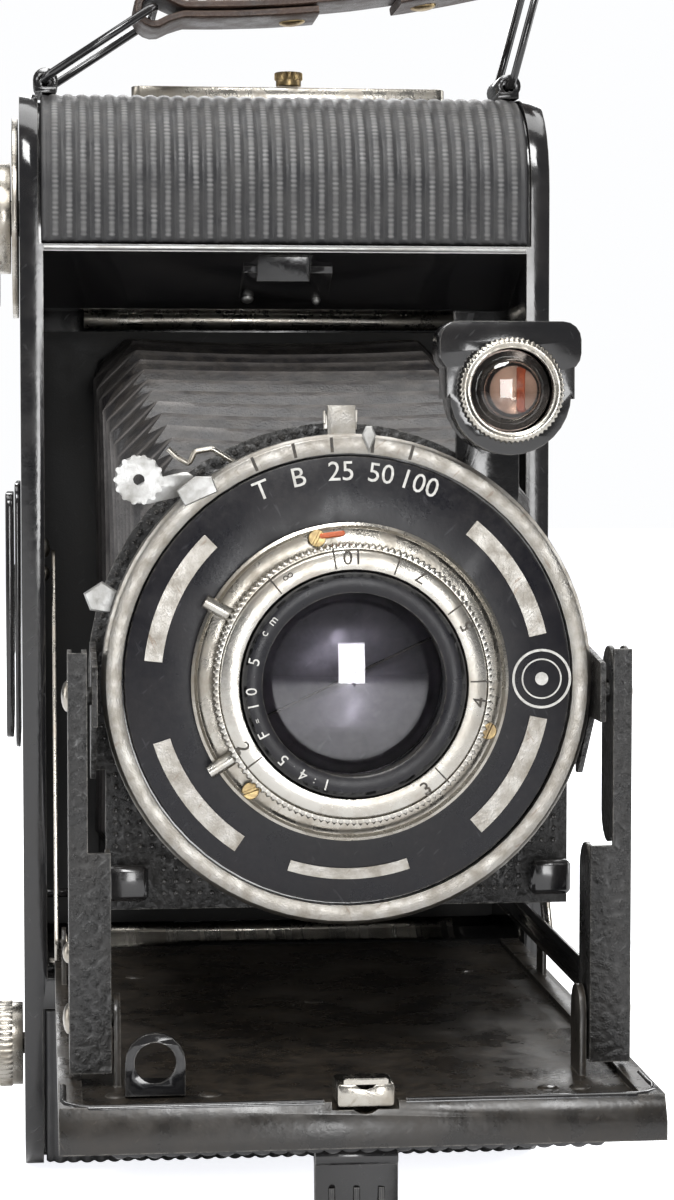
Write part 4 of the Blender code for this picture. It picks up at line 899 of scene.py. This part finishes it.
screws = []
for angle, turn in ((103.2, 62), (227.0, 20), (340.0, 66)):
    screws += slottedHead(onDial(17.8, angle, dial["flange"]), 1.05, 0.34, turn)
putPiece("flange_screws", screws, brass, "standard", angle=30)
indexAt = onDial(17.9, 97.2, dial["flange"])
indexBar = prism(roundBar(1.55, 0.34, 0.3, 4), 0.45, 0.15, indexAt, *leaning(7))
putPiece("distance_index", indexBar, redPaint, "standard")
flangeLip = turned([(18.5, 0.1), (19.25, 0.1), (19.25, -0.12), (18.9, -0.28), (18.55, -0.12)],
                   (lensX, dial["flange"], lensZ), "y", 128)
putPiece("flange_lip", flangeLip, nickel, "standard")
stopHeads = []
for angle in (150.6, 211.9):
    pinLine = [onDial(radius, angle, dial["flange"] - 0.9) for radius in (20.2, 17.9, 16.9)]
    stopHeads.append(wireAlong(np.array(pinLine), 0.85, 16))
putPiece("stop_pins_turned", stopHeads, brushed, "standard")
print("dial marked")


# lens mount
mount = {"knurlTeeth": 132, "knurlDepth": 0.22, "numberRadius": 15.2, "letterRadius": 12.35,
         "front": lowOf("focus_ring")[1], "cell": lowOf("lens_cell")[1]}
steps = mount["knurlTeeth"] * 4
toothAngle = np.arange(steps) * 2 * math.pi / steps
tooth = mount["knurlDepth"] * np.cos(mount["knurlTeeth"] * toothAngle)
knurlProfile = [(16.2, 0.35), (16.62, 0.35), (16.75, 0.55), (16.75, 2.7), (16.6, 2.95), (16.2, 2.95)]
onTeeth = np.array((0, 0.2, 1, 1, 0.2, 0))[:, None]
knurl = turned(knurlProfile, (lensX, mount["front"], lensZ), "y", steps, ripple=onTeeth * tooth[None])
putPiece("focus_knurl", knurl, brushed, "focus", angle=50)
focusNumbers, focusTicks = [], []
for text, angle in (("∞", 121.5), ("10", 91.5), ("7", 58.0), ("5", 27.0), ("4", -8.5), ("3", -55.5),
                    ("2", 209.0)):
    size = 1.75 if text != "∞" else 1.1
    focusNumbers.append(glyph(text, size, onDial(mount["numberRadius"], angle, mount["front"] - 0.01),
                              angle + 90, 0.06))
putPiece("focus_numbers", focusNumbers, blackFill, "focus", angle=30, weld=True)
for angle in (128.5, 99.0, 70.0, 36.5, 1.0, -46.0, 217.5):
    focusTicks.append(dialTick(13.95, 16.4, angle, mount["front"] - 0.01, 0.085, 0.03))
putPiece("focus_ticks", focusTicks, blackFill, "focus", angle=30)
nameLetters = []
for text, start, pace in (("1:4.5", 254.0, 7.0), ("F=10.5 cm", 208.0, 8.3)):
    for place, letter in enumerate(text):
        if letter != " ":
            angle = start - place * pace
            tall = {".": 0.25, ":": 0.9, "=": 0.7, "c": 1.0, "m": 1.0}.get(letter, 1.35)
            radius = mount["letterRadius"] - (0.3 if letter == "." else 0)
            spot = onDial(radius, angle, mount["cell"] - 0.01)
            nameLetters.append(glyph(letter, tall, spot, angle - 90, 0.05))
nameRing = turned([(11.0, 0.5), (11.0, 0.05), (11.25, -0.1), (13.25, -0.1), (13.45, 0.05), (13.45, 0.5)],
                  (lensX, mount["cell"] + 0.1, lensZ), "y", 128)
putPiece("lens_name_ring", nameRing, dialEnamel, "focus")
putPiece("lens_name_letters", nameLetters, whitePaint, "focus", angle=30, weld=True)
glassLook = {"radius": 10.95, "bulge": 1.9, "thick": 0.9, "rim": lowOf("front_lens")[1] + 1.9}
across = np.linspace(0.02, 1, 12)
bulge = glassLook["rim"] - glassLook["bulge"] * (1 - across ** 2)
front = np.stack((across * glassLook["radius"], bulge), -1)
back = front[::-1] + (0, glassLook["thick"])
putPiece("front_glass", turned(np.concatenate((front, back)), (lensX, 0, lensZ), "y", 96), lensGlass, "focus",
         ["front_lens"], angle=50)
seam = {"half": 11.2, "turn": 25.0, "wide": 0.09, "depth": 0.03, "y": lowOf("shutter_blade_1")[1] - 0.05}
seamEnds = onDial(np.array((-seam["half"], seam["half"])), seam["turn"], seam["y"])
seamSection = [(-seam["wide"], -seam["depth"]), (seam["wide"], -seam["depth"]), (seam["wide"], seam["depth"]),
               (-seam["wide"], seam["depth"])]
seamSide, forward = leaning(seam["turn"])[1], (0, -1, 0)
seamLine = sweep(seamEnds, np.tile(seamSide, (2, 1)), np.tile(forward, (2, 1)), seamSection)
putPiece("blade_seam", seamLine, blackFill, "blade_one", angle=30)
print("lens marked")


# release lever, cable wire, aperture pointer
lever = {"head": (-25.2, -101.15, 108.3), "teeth": 14, "toothDepth": 0.22, "footTurn": 36, "wireDepth": -99.7,
         "wireRadius": 0.34, "tabAngle": 161.5, "tabDepth": -98.9}
turnSteps = lever["teeth"] * 6
toothWave = np.cos(lever["teeth"] * np.arange(turnSteps) * 2 * math.pi / turnSteps)
teeth = lever["toothDepth"] * np.sign(toothWave) * np.abs(toothWave) ** 0.5
headProfile = [(0.75, 0.0), (2.85, 0.0), (2.85, 0.75), (0.75, 0.75)]
onTeeth = np.array((0, 1, 1, 0))[:, None]
head = turned(headProfile, lever["head"], "y", turnSteps, ripple=onTeeth * teeth[None])
holeLip = turned([(0.7, -0.12), (1.05, -0.12), (1.05, 0.2), (0.7, 0.2)], lever["head"], "y", 32)
putPiece("release_head", [head, holeLip], bright, "release", angle=30)
foot = prism([(-2.3, -0.6), (1.9, -1.5), (2.4, 0.4), (0.8, 1.6), (-2.0, 1.5)], 0.5, 0.12,
             onDial(29.4, 128.5, dial["rim"] - 0.05), *leaning(lever["footTurn"]))
putPiece("release_foot", foot, bright, "standard")
wirePath = [onDial(radius, angle, lever["wireDepth"]) for radius, angle in
            ((28.7, 116.0), (32.4, 120.0), (33.2, 123.5), (32.4, 126.0), (33.9, 127.2), (35.4, 127.6))]
cable = alongPath(wirePath, 0.35)[0]
putPiece("cable_wire", wireAlong(cable, lever["wireRadius"], 10), nickel, "standard")
tabShape = prism([(-1.6, -1.3), (0.6, -1.9), (2.3, 0.2), (0.9, 1.9), (-1.6, 1.5)], 0.9, 0.2,
                 onDial(31.3, lever["tabAngle"], lever["tabDepth"]), *leaning(lever["tabAngle"]))
putPiece("aperture_pointer", tabShape, bright, "aperture")
print("levers shaped")


# finder
# the finder's mirror disc gets a flat pinkish grey, a painted reflection of what the finder shows
paintedFinderReflection = makeFinish("finder_painted_reflection", base=(0.62, 0.50, 0.45), shade=(0.48, 0.37, 0.33), metal=0.3,
                       smooth=0.3, rough=0.5, patchScale=300.0, dustAmount=0.15)
seeker = {"x": 18.6, "z": 119.0, "teeth": 60, "toothDepth": 0.14, "front": lowOf("finder_bezel")[1],
          "mirrorRadius": 4.9, "mirrorThick": 0.25, "markHalf": (0.45, 2.4), "markAside": (1.2, 0.3)}
steps = seeker["teeth"] * 4
milling = seeker["toothDepth"] * np.cos(seeker["teeth"] * np.arange(steps) * 2 * math.pi / steps)
bezelProfile = [(5.3, 0.2), (5.3, 0.0), (5.6, -0.15), (6.0, -0.05), (6.2, 0.2), (6.2, 0.75), (5.9, 0.9),
                (5.3, 0.9)]
onTeeth = np.array((0, 0, 0, 0.2, 1, 1, 0.1, 0))[:, None]
bezelEdge = turned(bezelProfile, (seeker["x"], seeker["front"], seeker["z"]), "y", steps,
                   ripple=onTeeth * milling[None])
putPiece("finder_milled_edge", bezelEdge, nickel, "finder", angle=50)
glassBack = highOf("finder_glass")[1] + 0.35
mirror = prism(circleLoop(seeker["mirrorRadius"], 40), seeker["mirrorThick"], 0.05,
               (seeker["x"], glassBack + 0.4, seeker["z"]), toRight, toTop)
putPiece("finder_mirror", mirror, paintedFinderReflection, "finder")
markX, markZ = seeker["x"] + seeker["markAside"][0], seeker["z"] + seeker["markAside"][1]
redMark = prism(roundBar(*seeker["markHalf"], 0.2, 3), 0.2, 0.05, (markX, glassBack + 0.12, markZ),
                toRight, toTop)
putPiece("finder_red_mark", redMark, redPaint, "finder")
print("finder milled")


# spool knob and latch knob: milled edges
def milledEdge(name, axis, centre, radius, depths, teeth, finish, body):
    # a ring of teeth round a knob, from the first depth to the second along its axis
    count = teeth * 4
    angle = np.arange(count) * 2 * math.pi / count
    near, far = depths
    profile = [(radius - 0.5, near), (radius - 0.05, near), (radius, near + 0.15), (radius, far - 0.15),
               (radius - 0.05, far), (radius - 0.5, far)]
    ripple = np.array((0, 0.3, 1, 1, 0.3, 0))[:, None] * 0.15 * np.cos(teeth * angle)[None]
    putPiece(name, turned(profile, centre, axis, count, ripple=ripple), finish, body, angle=50)


knobLow, knobMiddle = lowOf("spool_knob"), (lowOf("spool_knob") + highOf("spool_knob")) / 2
milledEdge("spool_knob_milling", "x", knobMiddle * (0, 1, 1), 6.6, (knobLow[0] + 0.3, knobLow[0] + 2.4), 44,
           nickel, "knob")
latchLow, latchHigh = lowOf("latch_knob"), highOf("latch_knob")
milledEdge("latch_knob_milling", "z", (latchLow + latchHigh) / 2 * (1, 1, 0), 2.1,
           (latchLow[2] + 0.9, latchHigh[2] - 0.25), 20, brass, "latch")
print("knobs milled")


# floor, light and camera
stage = {"reach": 3.0, "paper": (0.86, 0.86, 0.87, 1), "paperGlow": 0.92, "glowColour": (0.95, 0.96, 1.0, 1),
         "sky": (0.985, 0.99, 1.0, 1), "skyLight": 0.17, "aim": (0, 0.0, 0.1), "aimLow": (0, -0.05, 0.09),
         "cameraAt": (-0.0368, -0.441, 0.1134), "cameraDown": 3.32, "cameraAside": -6.0, "lens": 84.0}
floorMesh = bpy.data.meshes.new("floor")
reach = stage["reach"]
floorMesh.from_pydata([(-reach, -reach, 0), (reach, -reach, 0), (reach, reach, 0), (-reach, reach, 0)], [],
                      [(0, 1, 2, 3)])
floorFinish = bpy.data.materials.new("pale_paper")
floorFinish.use_nodes = True
floorTree = floorFinish.node_tree
floorShader = floorTree.nodes["Principled BSDF"]
floorShader.inputs["Base Color"].default_value = stage["paper"]
floorShader.inputs["Roughness"].default_value = 0.7
directly = addNode(floorTree, "LightPath").outputs["Is Camera Ray"]
evenPale = mapped(floorTree, directly, 0.0, 1.0, 0.0, stage["paperGlow"])  # pale out to its far edge
floorShader.inputs["Emission Color"].default_value = stage["glowColour"]
floorTree.links.new(evenPale, floorShader.inputs["Emission Strength"])
floorMesh.materials.append(floorFinish)
floor = bpy.data.objects.new("floor", floorMesh)
bpy.context.scene.collection.objects.link(floor)

world = bpy.data.worlds.new("studio")
bpy.context.scene.world = world
world.use_nodes = True
sky = world.node_tree
sky.nodes["Background"].inputs["Color"].default_value = stage["sky"]
seenDirectly = addNode(sky, "LightPath").outputs["Is Camera Ray"]
skyLevel = mapped(sky, seenDirectly, 0.0, 1.0, stage["skyLight"])
sky.links.new(skyLevel, sky.nodes["Background"].inputs["Strength"])
bpy.context.scene.view_settings.view_transform = "Standard"
bpy.context.scene.view_settings.look = "None"

lamps = {  # name: (place, aimed at, width, height, watts)
    "window_high": ((-0.12, -0.78, 0.85), stage["aimLow"], 0.40, 0.35, 8.5),
    "window_low": ((0.10, -1.15, 0.16), stage["aimLow"], 0.22, 0.34, 2.6),
    "sky_over": ((0.0, 0.1, 1.2), stage["aim"], 1.0, 0.8, 10.0),
    "side_left": ((-1.0, -0.1, 0.45), stage["aim"], 0.6, 0.8, 5.0),
    "side_right": ((1.0, 0.1, 0.4), stage["aim"], 0.6, 0.8, 5.0),
    "behind": ((0.2, 1.1, 0.7), stage["aim"], 0.9, 0.6, 8.0),
}
for name, (place, aim, width, height, watts) in lamps.items():
    light = bpy.data.lights.new(name, "AREA")
    light.shape, light.size, light.size_y, light.energy = "RECTANGLE", width, height, watts
    lamp = bpy.data.objects.new(name, light)
    bpy.context.scene.collection.objects.link(lamp)
    lamp.location = place
    way = np.array(aim) - np.array(place)
    tilt = math.atan2(math.hypot(way[0], way[1]), -way[2])
    lamp.rotation_euler = (tilt, 0, math.atan2(way[1], way[0]) - math.pi / 2)

camera = bpy.data.cameras.new("camera")
camera.lens, camera.sensor_width = stage["lens"], 36.0
camera.clip_start = 0.01
cameraObject = bpy.data.objects.new("camera", camera)
bpy.context.scene.collection.objects.link(cameraObject)
cameraObject.location = stage["cameraAt"]
cameraObject.rotation_euler = (math.radians(90 - stage["cameraDown"]), 0, math.radians(stage["cameraAside"]))
bpy.context.scene.camera = cameraObject
print("stage set")
